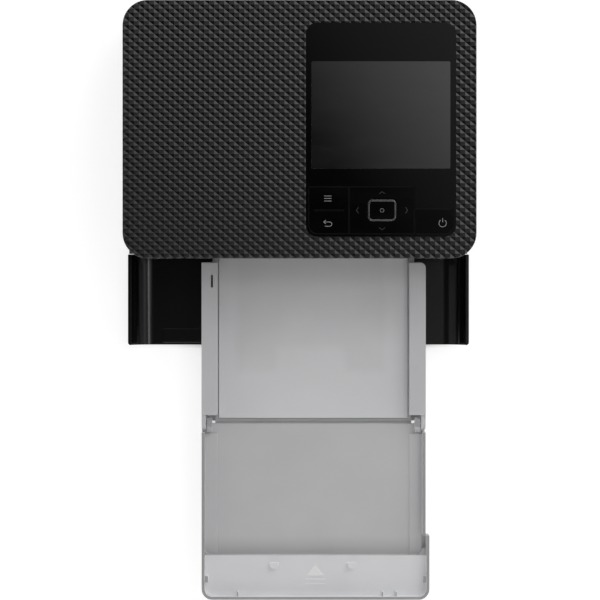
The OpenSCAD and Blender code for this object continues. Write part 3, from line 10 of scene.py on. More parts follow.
import bmesh
import bpy
import numpy as np
from mathutils.geometry import tessellate_polygon
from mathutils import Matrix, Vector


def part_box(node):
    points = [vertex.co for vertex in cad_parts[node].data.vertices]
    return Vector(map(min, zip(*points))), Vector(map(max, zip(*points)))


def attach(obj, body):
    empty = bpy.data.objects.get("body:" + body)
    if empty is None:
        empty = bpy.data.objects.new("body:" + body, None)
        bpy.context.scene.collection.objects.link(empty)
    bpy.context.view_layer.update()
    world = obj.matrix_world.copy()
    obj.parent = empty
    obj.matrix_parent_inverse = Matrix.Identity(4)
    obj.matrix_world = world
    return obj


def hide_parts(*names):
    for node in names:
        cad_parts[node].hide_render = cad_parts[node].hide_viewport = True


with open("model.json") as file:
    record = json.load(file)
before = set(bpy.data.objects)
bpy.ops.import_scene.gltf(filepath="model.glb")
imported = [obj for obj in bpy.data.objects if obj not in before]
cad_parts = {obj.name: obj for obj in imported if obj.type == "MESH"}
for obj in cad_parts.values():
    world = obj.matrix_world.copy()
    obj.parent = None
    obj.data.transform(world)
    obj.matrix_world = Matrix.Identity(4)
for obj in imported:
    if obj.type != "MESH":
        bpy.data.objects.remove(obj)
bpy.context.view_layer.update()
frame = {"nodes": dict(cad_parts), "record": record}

bl_info = {
    "name": "Compact Photo Printer",
    "version": (1, 0, 0),
    "blender": (4, 5, 0),
    "location": "3D View > Sidebar > Printer",
    "description": "Builds the skin, soft edges, icons, finishes and stage of a photo printer",
    "category": "Object",
}

MM = 0.001
NODES = frame["nodes"]
BODIES = frame["record"]["behaviour"]["bodies"]
SLOT_OF_NODE = {part["node"]: part["material_slot"] for part in frame["record"]["subparts"]}


def extent(node):
    """Lowest and highest corner of a CAD node in millimetres, as two arrays."""
    low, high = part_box(node)
    return np.array(low) / MM, np.array(high) / MM


def middle(node):
    """Middle of a CAD node's box in millimetres."""
    low, high = extent(node)
    return (low + high) / 2


# Edges that bend by more than this are rounded, or stay crisp where a piece is shaded smoothly
CREASE = math.radians(35)
# Faces that bend by less than this are one flat face
FLAT = math.radians(0.5)
# How far parts of one moulding, and prints and raised marks, sink into what carries them
SINK = 0.05
INK_SINK = 0.01
MARK_SINK = 0.2

# Skin: how far it reaches below its valleys and past the top cover's sides, and the gap
# between the control panel and the pocket for it
COVER_LOW, COVER_HIGH = extent("top_cover")
SKIN_DEPTH = 1.75
SKIN_OVERHANG = 0.02
POCKET_GAP = 0.1

# Control panel: the radii of its corners and of the window's, and the gaps that it leaves
# round the window and the keys
PANEL_LOW, PANEL_HIGH = extent("control_panel")
PANEL_RADIUS = 6.0
WINDOW_RADIUS = 0.8
WINDOW_GAP = 0.05
KEY_GAP = 0.25

KEY_TOP = float(PANEL_HIGH[2])
# Radii of each key's corners, anticlockwise from the rear right: two keys follow the panel's own
KEY_CORNERS = {
    "rocker_key": (0.15, 0.15, 4.35, 0.15),
    "nav_key": (0.15, 0.15, 0.15, 0.15),
    "power_key": (0.15, 0.15, 0.15, 4.35),
}
SELECT_RADIUS = 1.5
RING_RADIUS = 2.2
# Stems under each key, from the key's middle
KEY_STEMS = {
    "rocker_key": ((0, -6.5), (0, 6.5)),
    "nav_key": ((-11.75, 0), (11.75, 0)),
    "select_key": ((0, 0),),
    "power_key": ((4.3, 0),),
}
STEM_HEIGHT = 1.05
STEM_RADIUS = 1.6
# Thumb bar across the middle of the rocker key, whose ends are nearly half circles
BAR_LENGTH, BAR_WIDTH, BAR_HEIGHT = 15.5, 0.7, 0.2
BAR_RADIUS, BAR_ROUNDING = 0.34, 0.12

# Middles of the rocker key's two icons and of the power icon, from the middle of their key
MENU_PLACE = (-0.5, 6.1)
BACK_PLACE = (-0.5, -6.9)
POWER_PLACE = (KEY_STEMS["power_key"][0][0], -0.9)
POWER_RADIUS = 1.9
SELECT_DOT_RADIUS, SELECT_DOT_STROKE = 0.95, 0.14
# How far each direction's chevron stands from the middle of the four-way key
CHEVRON_REACH = {(0, 1): 9.6, (0, -1): 10.0, (1, 0): 13.2, (-1, 0): 13.2}
CHEVRON_LENGTH, CHEVRON_HALF = 1.1, 1.5

# Output cover: how far its lip reaches back, and how far it lies below the cover's highest point
LIP_LENGTH = 23.0
LIP_DROP = 4.6
# Raised marks on the lip, from the middle of its front edge
MARKS_MIDDLE = 8.7
ARROW = ((0.0, 18.2), (-4.6, 12.1), (4.6, 12.1))
ARROW_DRAFT = 0.25
RIB_PLACES = (7.8, 10.2)
RIB_SIZE, RIB_RADIUS = (10.6, 0.7), 0.3
RIB_HEIGHT, RIB_DRAFT = 0.12, 0.05
MARK_ROUNDING = 0.08

# Painted shades run from 0, black, to 1. The output cover's recess is painted darkest at the lip
# and lightens over the fade. Its painted dark rim is where the face looks up this much, this near
# below the top.
RECESS_SHADE, RECESS_FADE = (0.56, 0.72), 10.0
RIM_SHADE, RIM_FACING, RIM_BELOW = 0.45, (0.5, 0.9), (1.4, 1.1)
# Where the lift plate and its notch lie under the inner lid, along X and along Y
LIFT_PLACE = ((-33.1, 45.9), (-126.5, -60.0))
NOTCH_PLACE = ((-11.4, 23.8), (-133.0, -113.4))
# Painted shade on the inner lid over the lift plate, and how far its edges fade
LIFT_SHADE, LIFT_SOFTNESS = 0.94, 2.4


# ---------- sizes and colours that a user would change ----------


def length(name, description, default, least, most):
    """Length that a user may change, given in millimetres."""
    return bpy.props.FloatProperty(
        name=name, description=description, default=default * MM, min=least * MM, max=most * MM,
        unit="LENGTH", precision=5,
    )


class SkinSizes(bpy.types.PropertyGroup):
    """Sizes of the diamond pattern on the top cover."""

    pitch_across: length(
        "Diamond Width", "Length of each diamond's diagonal across the printer", 5.167, 3, 8)
    pitch_along: length(
        "Diamond Depth", "Length of each diamond's diagonal from front to rear", 4.273, 3, 8)
    height: length(
        "Height", "Height of each pyramid above the valleys between them", 0.6, 0.2, 1)
    edge_radius: length(
        "Edge Radius", "Radius that rounds the pattern off along the cover's outer edge",
        0.9, 0.5, 3)
    corner_radius: length(
        "Corner Radius", "Radius of the cover's corners seen from above", 13, 11, 15)
    pocket_radius: length(
        "Pocket Corner Radius", "Corner radius of the pocket that holds the control panel",
        6.1, 4, 8)


class EdgeSizes(bpy.types.PropertyGroup):
    """Radii of the softened edges of moulded pieces."""

    key: length("Key Edge", "Radius along the keys' edges", 0.1, 0.05, 0.4)
    panel: length("Panel Edge", "Radius along the control panel's edges", 0.08, 0.05, 0.4)
    door: length("Door Edge", "Radius along the front door's edges", 0.2, 0.1, 0.6)
    cassette: length("Cassette Edge", "Radius along the cassette's edges", 0.22, 0.1, 0.5)


class MarkSizes(bpy.types.PropertyGroup):
    """Sizes and colours of the printed icons and the raised marks."""

    stroke: length("Icon Stroke", "Width of the icons' lines", 0.26, 0.2, 0.8)
    film: length(
        "Print Thickness", "Thickness of the icons' print over the keys", 0.02, 0.01, 0.1)
    white: bpy.props.FloatVectorProperty(
        name="Icon White", description="Colour of the white icons",
        default=(0.36, 0.36, 0.36), min=0, max=1, subtype="COLOR",
    )
    grey: bpy.props.FloatVectorProperty(
        name="Icon Grey", description="Colour of the faint icons on the four-way key",
        default=(0.045, 0.045, 0.047), min=0, max=1, subtype="COLOR",
    )
    emboss: length(
        "Emboss", "Height of the raised marks on the cassette's lip", 0.35, 0.1, 0.6)


class StageSizes(bpy.types.PropertyGroup):
    """Sizes and levels of the stage round the printer."""

    camera_place: bpy.props.FloatVectorProperty(
        name="Camera Place", description="Place of the camera, which looks straight down",
        default=(-0.0152, -0.0725, 1.177), subtype="XYZ", unit="LENGTH",
    )
    lens: bpy.props.FloatProperty(
        name="Lens", description="Focal length for a sensor 36 mm wide",
        default=130.6, min=50, max=300, unit="CAMERA",
    )
    floor_half: bpy.props.FloatProperty(
        name="Floor Reach", description="Half of the floor's width",
        default=4.0, min=1, max=20, unit="LENGTH",
    )
    key_power: bpy.props.FloatProperty(
        name="Key Light", description="Power of the soft key light",
        default=3.6, min=0, max=100, unit="POWER",
    )
    fill_power: bpy.props.FloatProperty(
        name="Fill Light", description="Power of the soft fill light from the front",
        default=12.0, min=0, max=100, unit="POWER",
    )


# ---------- surfaces worked out with numpy ----------


def corner_outline(low, high, radii, steps=10):
    """Rectangle with a radius of its own at each corner, anticlockwise from the rear right,
    as quarter circles."""
    radii = np.asarray(radii, float)
    turn = np.arange(4)[:, None] * math.pi / 2 + np.linspace(0, math.pi / 2, steps + 1)[None, :]
    centre_x = np.array([high[0], low[0], low[0], high[0]]) + np.array([-1, 1, 1, -1]) * radii
    centre_y = np.array([high[1], high[1], low[1], low[1]]) + np.array([-1, -1, 1, 1]) * radii
    outline = np.stack([centre_x[:, None] + radii[:, None] * np.cos(turn),
                        centre_y[:, None] + radii[:, None] * np.sin(turn)], axis=-1)
    return outline.reshape(-1, 2)


def rounded_outline(width, depth, radius, steps=12):
    """Rectangle about the origin with one radius at every corner."""
    reach = np.array([width, depth]) / 2
    return corner_outline(-reach, reach, [radius] * 4, steps)


def circle(centre, radius, steps=40, start=0.0, sweep=2 * math.pi):
    """Points on a circle, or on an arc that starts at an angle and runs on by a sweep."""
    whole = abs(sweep) >= 2 * math.pi - 1e-9
    turn = start + np.linspace(0, sweep, steps, endpoint=not whole)
    return np.array(centre) + radius * np.column_stack([np.cos(turn), np.sin(turn)])


def lifted(outline, height):
    """Flat outline as points in space at one height."""
    return np.column_stack([outline, np.full(len(outline), height)])


def mitred(ahead, behind):
    """Step aside at each bend that shifts both of its sides to the left by 1: it is square to
    their mean way, and 1 divided by the cosine of half the bend long."""
    ahead, behind = (way / np.linalg.norm(way, axis=1, keepdims=True) for way in (ahead, behind))
    mitre = ahead + behind
    mitre = mitre / np.linalg.norm(mitre, axis=1, keepdims=True)
    aside = np.column_stack([-mitre[:, 1], mitre[:, 0]])
    return aside / np.sum(mitre * ahead, axis=1, keepdims=True)


def drawn_in(outline, inset):
    """Closed outline moved to its left by the inset, mitred at each bend."""
    ahead = np.roll(outline, -1, axis=0) - outline
    return outline + mitred(ahead, np.roll(ahead, 1, axis=0)) * inset


def grid_faces(rows, columns):
    """Quads of a grid whose points are stored row by row and whose columns close into a ring."""
    row = np.arange(rows - 1)[:, None]
    column = np.arange(columns)[None, :]
    after = (column + 1) % columns
    here = row * columns
    quads = np.stack(
        [here + column, here + after, here + columns + after, here + columns + column], axis=-1)
    return quads.reshape(-1, 4)


def stacked_rings(rings):
    """Closed skin over rings of equal count: ring after ring is joined by quads, and the first
    and last are capped."""
    rings = np.asarray(rings, float)
    count, around = rings.shape[:2]
    faces = grid_faces(count, around).tolist()
    faces.append(list(range(around))[::-1])
    faces.append([(count - 1) * around + k for k in range(around)])
    return rings.reshape(-1, 3), faces


def rounded_slab(centre, width, depth, radius, profile):
    """Rounded rectangle carried up a profile of (inset, height) pairs: at each height the
    outline is drawn in by the inset."""
    return stacked_rings([
        lifted(rounded_outline(width - 2 * inset, depth - 2 * inset, radius - inset)
               + np.array(centre), height)
        for inset, height in profile
    ])


def rounded_over(base, top, radius, steps=8):
    """Profile that stands straight up from base and rounds over into a flat top by a quarter
    circle, whose last short step is left to the top's own edge."""
    turn = np.linspace(0, math.pi / 2 * 0.97, steps)
    quarter = np.column_stack([radius * (1 - np.cos(turn)), top - radius + radius * np.sin(turn)])
    return [(0.0, base), *map(tuple, quarter), (radius, top)]


def moulded_plate(outer, holes, base, top, radius):
    """Flat plate with holes: every outline stands straight up and rounds over into the top by a
    quarter circle.

    The outer outline runs anticlockwise and the holes clockwise, so that
    drawing each one to its left always moves it into the material. Both flat
    faces are cut into triangles between the outlines.
    """
    profile = rounded_over(base, top, radius)
    outlines = [np.asarray(outer)] + [np.asarray(hole)[::-1] for hole in holes]
    points, faces, bottoms, tops, offset = [], [], [], [], 0
    for outline in outlines:
        rings = np.array([lifted(drawn_in(outline, inset), height) for inset, height in profile])
        around = len(outline)
        points.append(rings.reshape(-1, 3))
        faces.extend((grid_faces(len(profile), around) + offset).tolist())
        bottoms.append(offset + np.arange(around))
        tops.append(offset + (len(profile) - 1) * around + np.arange(around))
        offset += len(profile) * around
    points = np.concatenate(points)
    for loops, up in ((bottoms, -1), (tops, 1)):
        index = np.concatenate(loops)
        cut = np.array(tessellate_polygon([points[loop].tolist() for loop in loops]))
        corner = points[index[cut]][..., :2]
        edge, other = corner[:, 1] - corner[:, 0], corner[:, 2] - corner[:, 0]
        turned = (edge[:, 0] * other[:, 1] - edge[:, 1] * other[:, 0]) * up < 0
        cut[turned] = cut[turned][:, ::-1]
        faces.extend(index[cut].tolist())
    return points, faces


def diamond_slab(low, high, pitch, base, valley, height):
    """Slab whose top is a field of pyramids on diamond bases.

    On a grid of half pitches the points alternate like a chessboard: one
    colour lies in the valley and the other is the tip of a pyramid. Each grid
    cell is split along the valley between its two low points.
    """
    half = np.array(pitch) / 2
    first = np.floor(np.array(low) / half).astype(int) - 1
    last = np.ceil(np.array(high) / half).astype(int) + 1
    across, along = (np.arange(a, b + 1) for a, b in zip(first, last))
    column, row = np.meshgrid(across, along)
    tip = (column + row) % 2
    x, y = column * half[0], row * half[1]
    top = np.stack([x, y, valley + height * tip], axis=-1)
    bottom = np.stack([x, y, np.full(x.shape, base)], axis=-1)
    rows, columns = x.shape
    index = np.arange(rows * columns).reshape(rows, columns)
    a, b, c, d = index[:-1, :-1], index[:-1, 1:], index[1:, 1:], index[1:, :-1]
    low_first = (tip[:-1, :-1] == 0)[..., None, None]
    along_valley = np.stack([np.stack([a, b, c], -1), np.stack([a, c, d], -1)], axis=-2)
    across_valley = np.stack([np.stack([a, b, d], -1), np.stack([b, c, d], -1)], axis=-2)
    roof = np.where(low_first, along_valley, across_valley).reshape(-1, 3)
    under = np.stack([a, d, c, b], axis=-1).reshape(-1, 4) + rows * columns
    rim = np.concatenate([index[0, :-1], index[:-1, -1], index[-1, :0:-1], index[:0:-1, 0]])
    following = np.roll(rim, -1)
    wall = np.stack([rim + rows * columns, following + rows * columns, following, rim], axis=-1)
    points = np.concatenate([top.reshape(-1, 3), bottom.reshape(-1, 3)])
    return points, roof.tolist() + under.tolist() + wall.tolist()


def ribbon(path, width, base, top, closed=False):
    """Flat band of even width along a path: a rectangular profile is carried along it, mitred at
    each bend."""
    path = np.asarray(path, float)
    if closed:
        ahead, behind = np.roll(path, -1, axis=0) - path, path - np.roll(path, 1, axis=0)
    else:
        step = np.diff(path, axis=0)
        ahead, behind = np.vstack([step, step[-1:]]), np.vstack([step[:1], step])
    reach = mitred(ahead, behind) * width / 2
    left, right = path + reach, path - reach
    profile = np.stack(
        [lifted(right, base), lifted(right, top), lifted(left, top), lifted(left, base)], axis=1)
    if not closed:
        return stacked_rings(profile[:, ::-1])
    quads = grid_faces(len(path) + 1, 4)[:, ::-1] % (4 * len(path))
    return profile.reshape(-1, 3), quads.tolist()


def raised_plate(outline, base, top, draft):
    """Outline carried straight up and drawn in towards its middle by the draft, as a moulded mark
    leaves its tool."""
    outline = np.asarray(outline, float)
    centre = outline.mean(axis=0)
    size = np.abs(outline - centre).max()
    upper = centre + (outline - centre) * (1 - draft / size)
    return stacked_rings(
        [lifted(outline, base), lifted(outline, (base + top) / 2), lifted(upper, top)])


def merged(*parts):
    """Several point and face lists as one."""
    points, faces, offset = [], [], 0
    for part_points, part_faces in parts:
        points.append(part_points)
        faces.extend([[k + offset for k in face] for face in part_faces])
        offset += len(part_points)
    return np.concatenate(points), faces


# ---------- pieces ----------


def mesh_object(name, points, faces):
    """Object at the origin whose mesh has these points, given in millimetres."""
    mesh = bpy.data.meshes.new(name)
    mesh.from_pydata(
        (np.asarray(points) * MM).tolist(), [], [list(map(int, face)) for face in faces])
    mesh.update()
    return linked(name, mesh)


def linked(name, data):
    """New object in the scene for a mesh, a light or a camera."""
    obj = bpy.data.objects.new(name, data)
    bpy.context.scene.collection.objects.link(obj)
    return obj


def finish_piece(obj, body, slot, material=None):
    """Gives a piece the material of a record slot, or one of its own, and lets it ride
    on its CAD body."""
    obj.data.materials.clear()
    obj.data.materials.append(material or finish(slot))
    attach(obj, body)


def shaded_by_faces(obj):
    """Lets the large flat faces set a piece's shading, up to its sharp edges."""
    weighted = obj.modifiers.new("Flat faces", "WEIGHTED_NORMAL")
    weighted.weight = 100
    weighted.keep_sharp = True
    return obj


def bevelled(obj, radius, segments=2):
    """Rounds a piece's edges where they bend more than the crease."""
    bevel = obj.modifiers.new("Soft edges", "BEVEL")
    bevel.width = radius
    bevel.segments = segments
    bevel.limit_method = "ANGLE"
    bevel.angle_limit = CREASE
    bevel.use_clamp_overlap = False
    bevel.miter_outer = "MITER_ARC"
    obj.data.polygons.foreach_set("use_smooth", np.ones(len(obj.data.polygons), bool))
    return shaded_by_faces(obj)


def shaded_smooth(obj):
    """Shades a piece smoothly but for the edges that bend more than the crease."""
    obj.data.set_sharp_from_angle(angle=CREASE)
    return shaded_by_faces(obj)


def shaped_by(obj, tool, operation):
    """Cuts a piece with a tool piece, which is then taken away."""
    boolean = obj.modifiers.new("Trim", "BOOLEAN")
    boolean.operation = operation
    boolean.object = tool
    boolean.solver = "EXACT"
    bpy.context.view_layer.update()
    graph = bpy.context.evaluated_depsgraph_get()
    mesh = bpy.data.meshes.new_from_object(obj.evaluated_get(graph), depsgraph=graph)
    if not len(mesh.polygons):
        raise RuntimeError(f"{obj.name}: nothing is left after it was cut with {tool.name}")
    obj.modifiers.remove(boolean)
    obj.data = mesh
    bpy.data.objects.remove(tool)


def body_of_node(node):
    """Name of the CAD body that holds a node."""
    return next(body for body, members in BODIES.items() if node in members)


def standing_for(node, piece, material=None):
    """Lets a piece stand for a CAD node, with the node's body and the finish of its slot, or a
    finish of its own."""
    finish_piece(piece, body_of_node(node), SLOT_OF_NODE[node], material)
    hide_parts(node)


def moulded_piece(name, shape, node):
    """New smooth piece that stands for a CAD node."""
    standing_for(node, shaded_smooth(mesh_object(name, *shape)))


def softened_copy(node, radius, material=None, segments=2):
    """Copy of a CAD node with merged points and softened edges, which stands for the node."""
    mesh = NODES[node].data.copy()
    work = bmesh.new()
    work.from_mesh(mesh)
    bmesh.ops.remove_doubles(work, verts=work.verts[:], dist=0.001 * MM)
    bmesh.ops.dissolve_limit(work, angle_limit=FLAT, verts=work.verts[:], edges=work.edges[:])
    work.to_mesh(mesh)
    work.free()
    standing_for(node, bevelled(linked("soft_" + node, mesh), radius, segments), material)


# ---------- materials ----------

# Nearly all of a noise's values lie between these; a brick or crystal pattern uses its whole range
NOISE_RANGE = (0.3, 0.7)
WHOLE_RANGE = (0.0, 1.0)


def linear(code):
    """Linear colour of an sRGB hex value."""
    value = np.array([int(code[k:k + 2], 16) for k in (1, 3, 5)]) / 255
    value = np.where(value <= 0.04045, value / 12.92, ((value + 0.055) / 1.055) ** 2.4)
    return (*value.tolist(), 1.0)


def add(tree, kind, inputs=(), output=0, **settings):
    """Adds a shader node of a kind and returns one of its outputs.

    Settings are the node's properties. Inputs go to its sockets by name or
    number, or in order, and each is a value or another node's output.
    """
    node = tree.nodes.new("ShaderNode" + kind)
    for name, value in settings.items():
        setattr(node, name, value)
    for socket, value in inputs.items() if isinstance(inputs, dict) else enumerate(inputs):
        if isinstance(value, bpy.types.NodeSocket):
            tree.links.new(value, node.inputs[socket])
        else:
            node.inputs[socket].default_value = value
    return node.outputs[output] if node.outputs else None


def ramp(tree, value, start, end, low=0.0, high=1.0):
    """Level that runs from low to high as the value goes from start to end, and stays there."""
    return add(tree, "MapRange", (value, start, end, low, high))


def combined(tree, operation, value, *others):
    """Value put together with each of the others in turn."""
    for other in others:
        value = add(tree, "Math", (value, other), operation=operation)
    return value


def empty_tree(holder):
    """Node tree of a material or world, cleared."""
    holder.use_nodes = True
    holder.node_tree.nodes.clear()
    return holder.node_tree


def grain(size, detail=2.0, roughness=0.5, stretch=None):
    """Pattern of soft grains about size millimetres across, drawn out along X, Y or Z by the
    stretch."""
    def pattern(tree, place):
        if stretch:
            place = add(tree, "Mapping", {
                "Vector": place, "Scale": [1 / share for share in stretch]})
        return add(tree, "TexNoise", {
            "Vector": place, "Scale": 1 / MM / size, "Detail": detail, "Roughness": roughness,
        }), NOISE_RANGE
    return pattern


def zinc_crystals(tree, place):
    """Pattern of flat crystals 2.6 mm across, each with a tone of its own."""
    crystal = add(tree, "TexVoronoi",
                  {"Vector": place, "Scale": 1 / MM / 2.6, "Randomness": 1.0}, "Color")
    return add(tree, "SeparateColor", (crystal,)), WHOLE_RANGE


def board_tracks(tree, place):
    """Pattern of parallel tracks in rows 6 mm apart, which run on in steps."""
    tracks = add(tree, "TexBrick", {
        "Vector": place, "Scale": 1 / MM / 6, "Color1": (0, 0, 0, 1),
        "Color2": (0.35, 0.35, 0.35, 1), "Mortar": (1, 1, 1, 1), "Mortar Size": 0.035,
        "Brick Width": 0.7, "Row Height": 0.2,
    })
    return add(tree, "SeparateColor", (tracks,)), WHOLE_RANGE


def surface(name, dark, light, tone, shine, roughness, depth=0.0, standing=None, shade=None,
            **sockets):
    """New material of one Principled shader.

    Its colour runs from dark to light as the tone pattern rises, and its
    roughness from the first value to the second as the shine pattern rises.
    The standing pattern, or else that of the shine, stands out of the surface
    by depth millimetres. A painted shade, from 0 for black to 1, darkens the colour.
    """
    material = bpy.data.materials.new(name)
    tree = empty_tree(material)
    place = add(tree, "TexCoord", output="Object")
    standing = standing or shine
    drawn = {pattern: pattern(tree, place) for pattern in dict.fromkeys((tone, shine, standing))}
    (tone, tone_range), (shine, shine_range), (standing, _) = (
        drawn[pattern] for pattern in (tone, shine, standing))
    share = ramp(tree, tone, *tone_range)
    colour = add(tree, "Mix", {0: share, 6: dark, 7: light}, 2, data_type="RGBA")
    # A painted shade scales the colour down
    if shade:
        colour = add(tree, "VectorMath", {0: colour, "Scale": shade(tree, place)},
                     operation="SCALE")
    values = {key.replace("_", " "): value for key, value in sockets.items()}
    values["Base Color"] = colour
    values["Roughness"] = ramp(tree, shine, *shine_range, *roughness)
    if depth:
        values["Normal"] = add(tree, "Bump", {
            "Height": standing, "Strength": 1.0, "Distance": depth * MM})
    shader = add(tree, "BsdfPrincipled", values)
    add(tree, "OutputMaterial", {"Surface": shader})
    return material


def moulded_plastic(name, dark, light, size, depth, roughness, **sockets):
    """Plastic from a textured tool: two close shades drift over it, and a fine grain breaks up
    its shine."""
    return surface(name, dark, light, grain(22, detail=3), grain(size, detail=3, roughness=0.6),
                   (roughness - 0.05, roughness + 0.05), depth, **sockets)


def polished_plastic(name, dark, light, roughness, **sockets):
    """Hard-coated glossy plastic: a deep even colour under a clear skin with faint wipe marks in
    its gloss."""
    return surface(name, dark, light, grain(35), grain(6, detail=4, stretch=(4, 1, 1)),
                   (roughness * 0.7, roughness * 1.5), **sockets)


def machined_metal(name, dark, light, roughness, size, stretch, depth):
    """Metal with a lay: fine lines along the way it was drawn, rolled or turned, a little
    brighter on their crests."""
    lines = grain(size, detail=4, roughness=0.6, stretch=stretch)
    return surface(name, dark, light, lines, lines, (roughness + 0.06, roughness - 0.06), depth,
                   Metallic=1.0)


def zinc_plated_sheet(name, dark, light):
    """Zinc-plated steel sheet: flat crystals that differ a little in tone and shine, under faint
    scratches."""
    return surface(name, dark, light, zinc_crystals, zinc_crystals, (0.3, 0.44), 0.004,
                   standing=grain(0.5, stretch=(1, 14, 1)), Metallic=1.0)


def smoky_polystyrene(name, dark, light, roughness, transmission, shade=None):
    """Smoke-grey translucent polystyrene with a finely grained face: light passes dimly, and a
    painted shade may darken its colour."""
    return surface(name, dark, light, grain(30), grain(0.45, detail=3, roughness=0.6),
                   (roughness - 0.04, roughness + 0.06), 0.012, shade=shade,
                   Transmission_Weight=transmission, IOR=1.59, Specular_IOR_Level=0.45)


def ground_rubber(name, dark, light, size, depth):
    """Rubber with a dull, ground or moulded face and a trace of bloom."""
    return surface(name, dark, light, grain(7), grain(size, detail=4, roughness=0.7),
                   (0.68, 0.86), depth, IOR=1.5, Specular_IOR_Level=0.35)


def solder_resist(name, dark, light):
    """Glass-fibre circuit board under solder resist: fine parallel tracks show as slightly
    raised, lighter lines."""
    return surface(name, dark, light, board_tracks, board_tracks, (0.32, 0.45), 0.03,
                   IOR=1.55, Coat_Weight=0.4, Coat_Roughness=0.15)


def printed_ink(name, colour):
    """Screen-printed ink: a thin even coat, slightly duller than the gloss round it, with a fine
    mesh of pinholes."""
    pinholes = grain(0.12, detail=1)
    dull = [channel * 0.9 for channel in colour]
    return surface(name, (*dull, 1), (*colour, 1), pinholes, pinholes, (0.45, 0.6),
                   IOR=1.5, Specular_IOR_Level=0.3)


def painted_lid_shade(tree, place):
    """Painted shade on the inner lid, standing for the lift plate seen softly through it, but for
    its notch.
    """
    across, along, _ = add(tree, "SeparateXYZ", (place,)).node.outputs

    def within(way, start, end):
        soft = LIFT_SOFTNESS
        rise = ramp(tree, way, (start - soft) * MM, (start + soft) * MM)
        fall = ramp(tree, way, (end - soft) * MM, (end + soft) * MM, 1.0, 0.0)
        return combined(tree, "MULTIPLY", rise, fall)

    plate, notch = (
        combined(tree, "MULTIPLY", within(across, *wide), within(along, *deep))
        for wide, deep in (LIFT_PLACE, NOTCH_PLACE))
    beside = combined(tree, "SUBTRACT", 1.0, notch)
    under = combined(tree, "MULTIPLY", plate, beside)
    return ramp(tree, under, 0.0, 1.0, 1.0, LIFT_SHADE)


def painted_cover_shade(tree, place):
    """Painted light and shade on the output cover: palest on its raised lip, painted shade in
    the recess, deepest just behind the lip, and on top of the rim and its catches."""
    low, high = (corner * MM for corner in extent("output_cover"))
    edge = low[1] + LIP_LENGTH * MM
    _, along, up = add(tree, "SeparateXYZ", (place,)).node.outputs
    facing = add(tree, "SeparateXYZ", (add(tree, "NewGeometry", output="Normal"),), "Z")
    recess = ramp(tree, along, edge, edge + RECESS_FADE * MM, *RECESS_SHADE)
    behind = ramp(tree, along, edge - 0.2 * MM, edge + 0.2 * MM)
    level = add(tree, "Mix", {0: behind, 2: 1.0, 3: recess})
    high_up = ramp(tree, up, *(high[2] - below * MM for below in RIM_BELOW))
    flat = ramp(tree, facing, *RIM_FACING)
    rim = combined(tree, "MULTIPLY", high_up, flat)
    # The rim's painted shade lies over the painted levels of the lip and recess
    return add(tree, "Mix", {0: rim, 2: level, 3: RIM_SHADE})


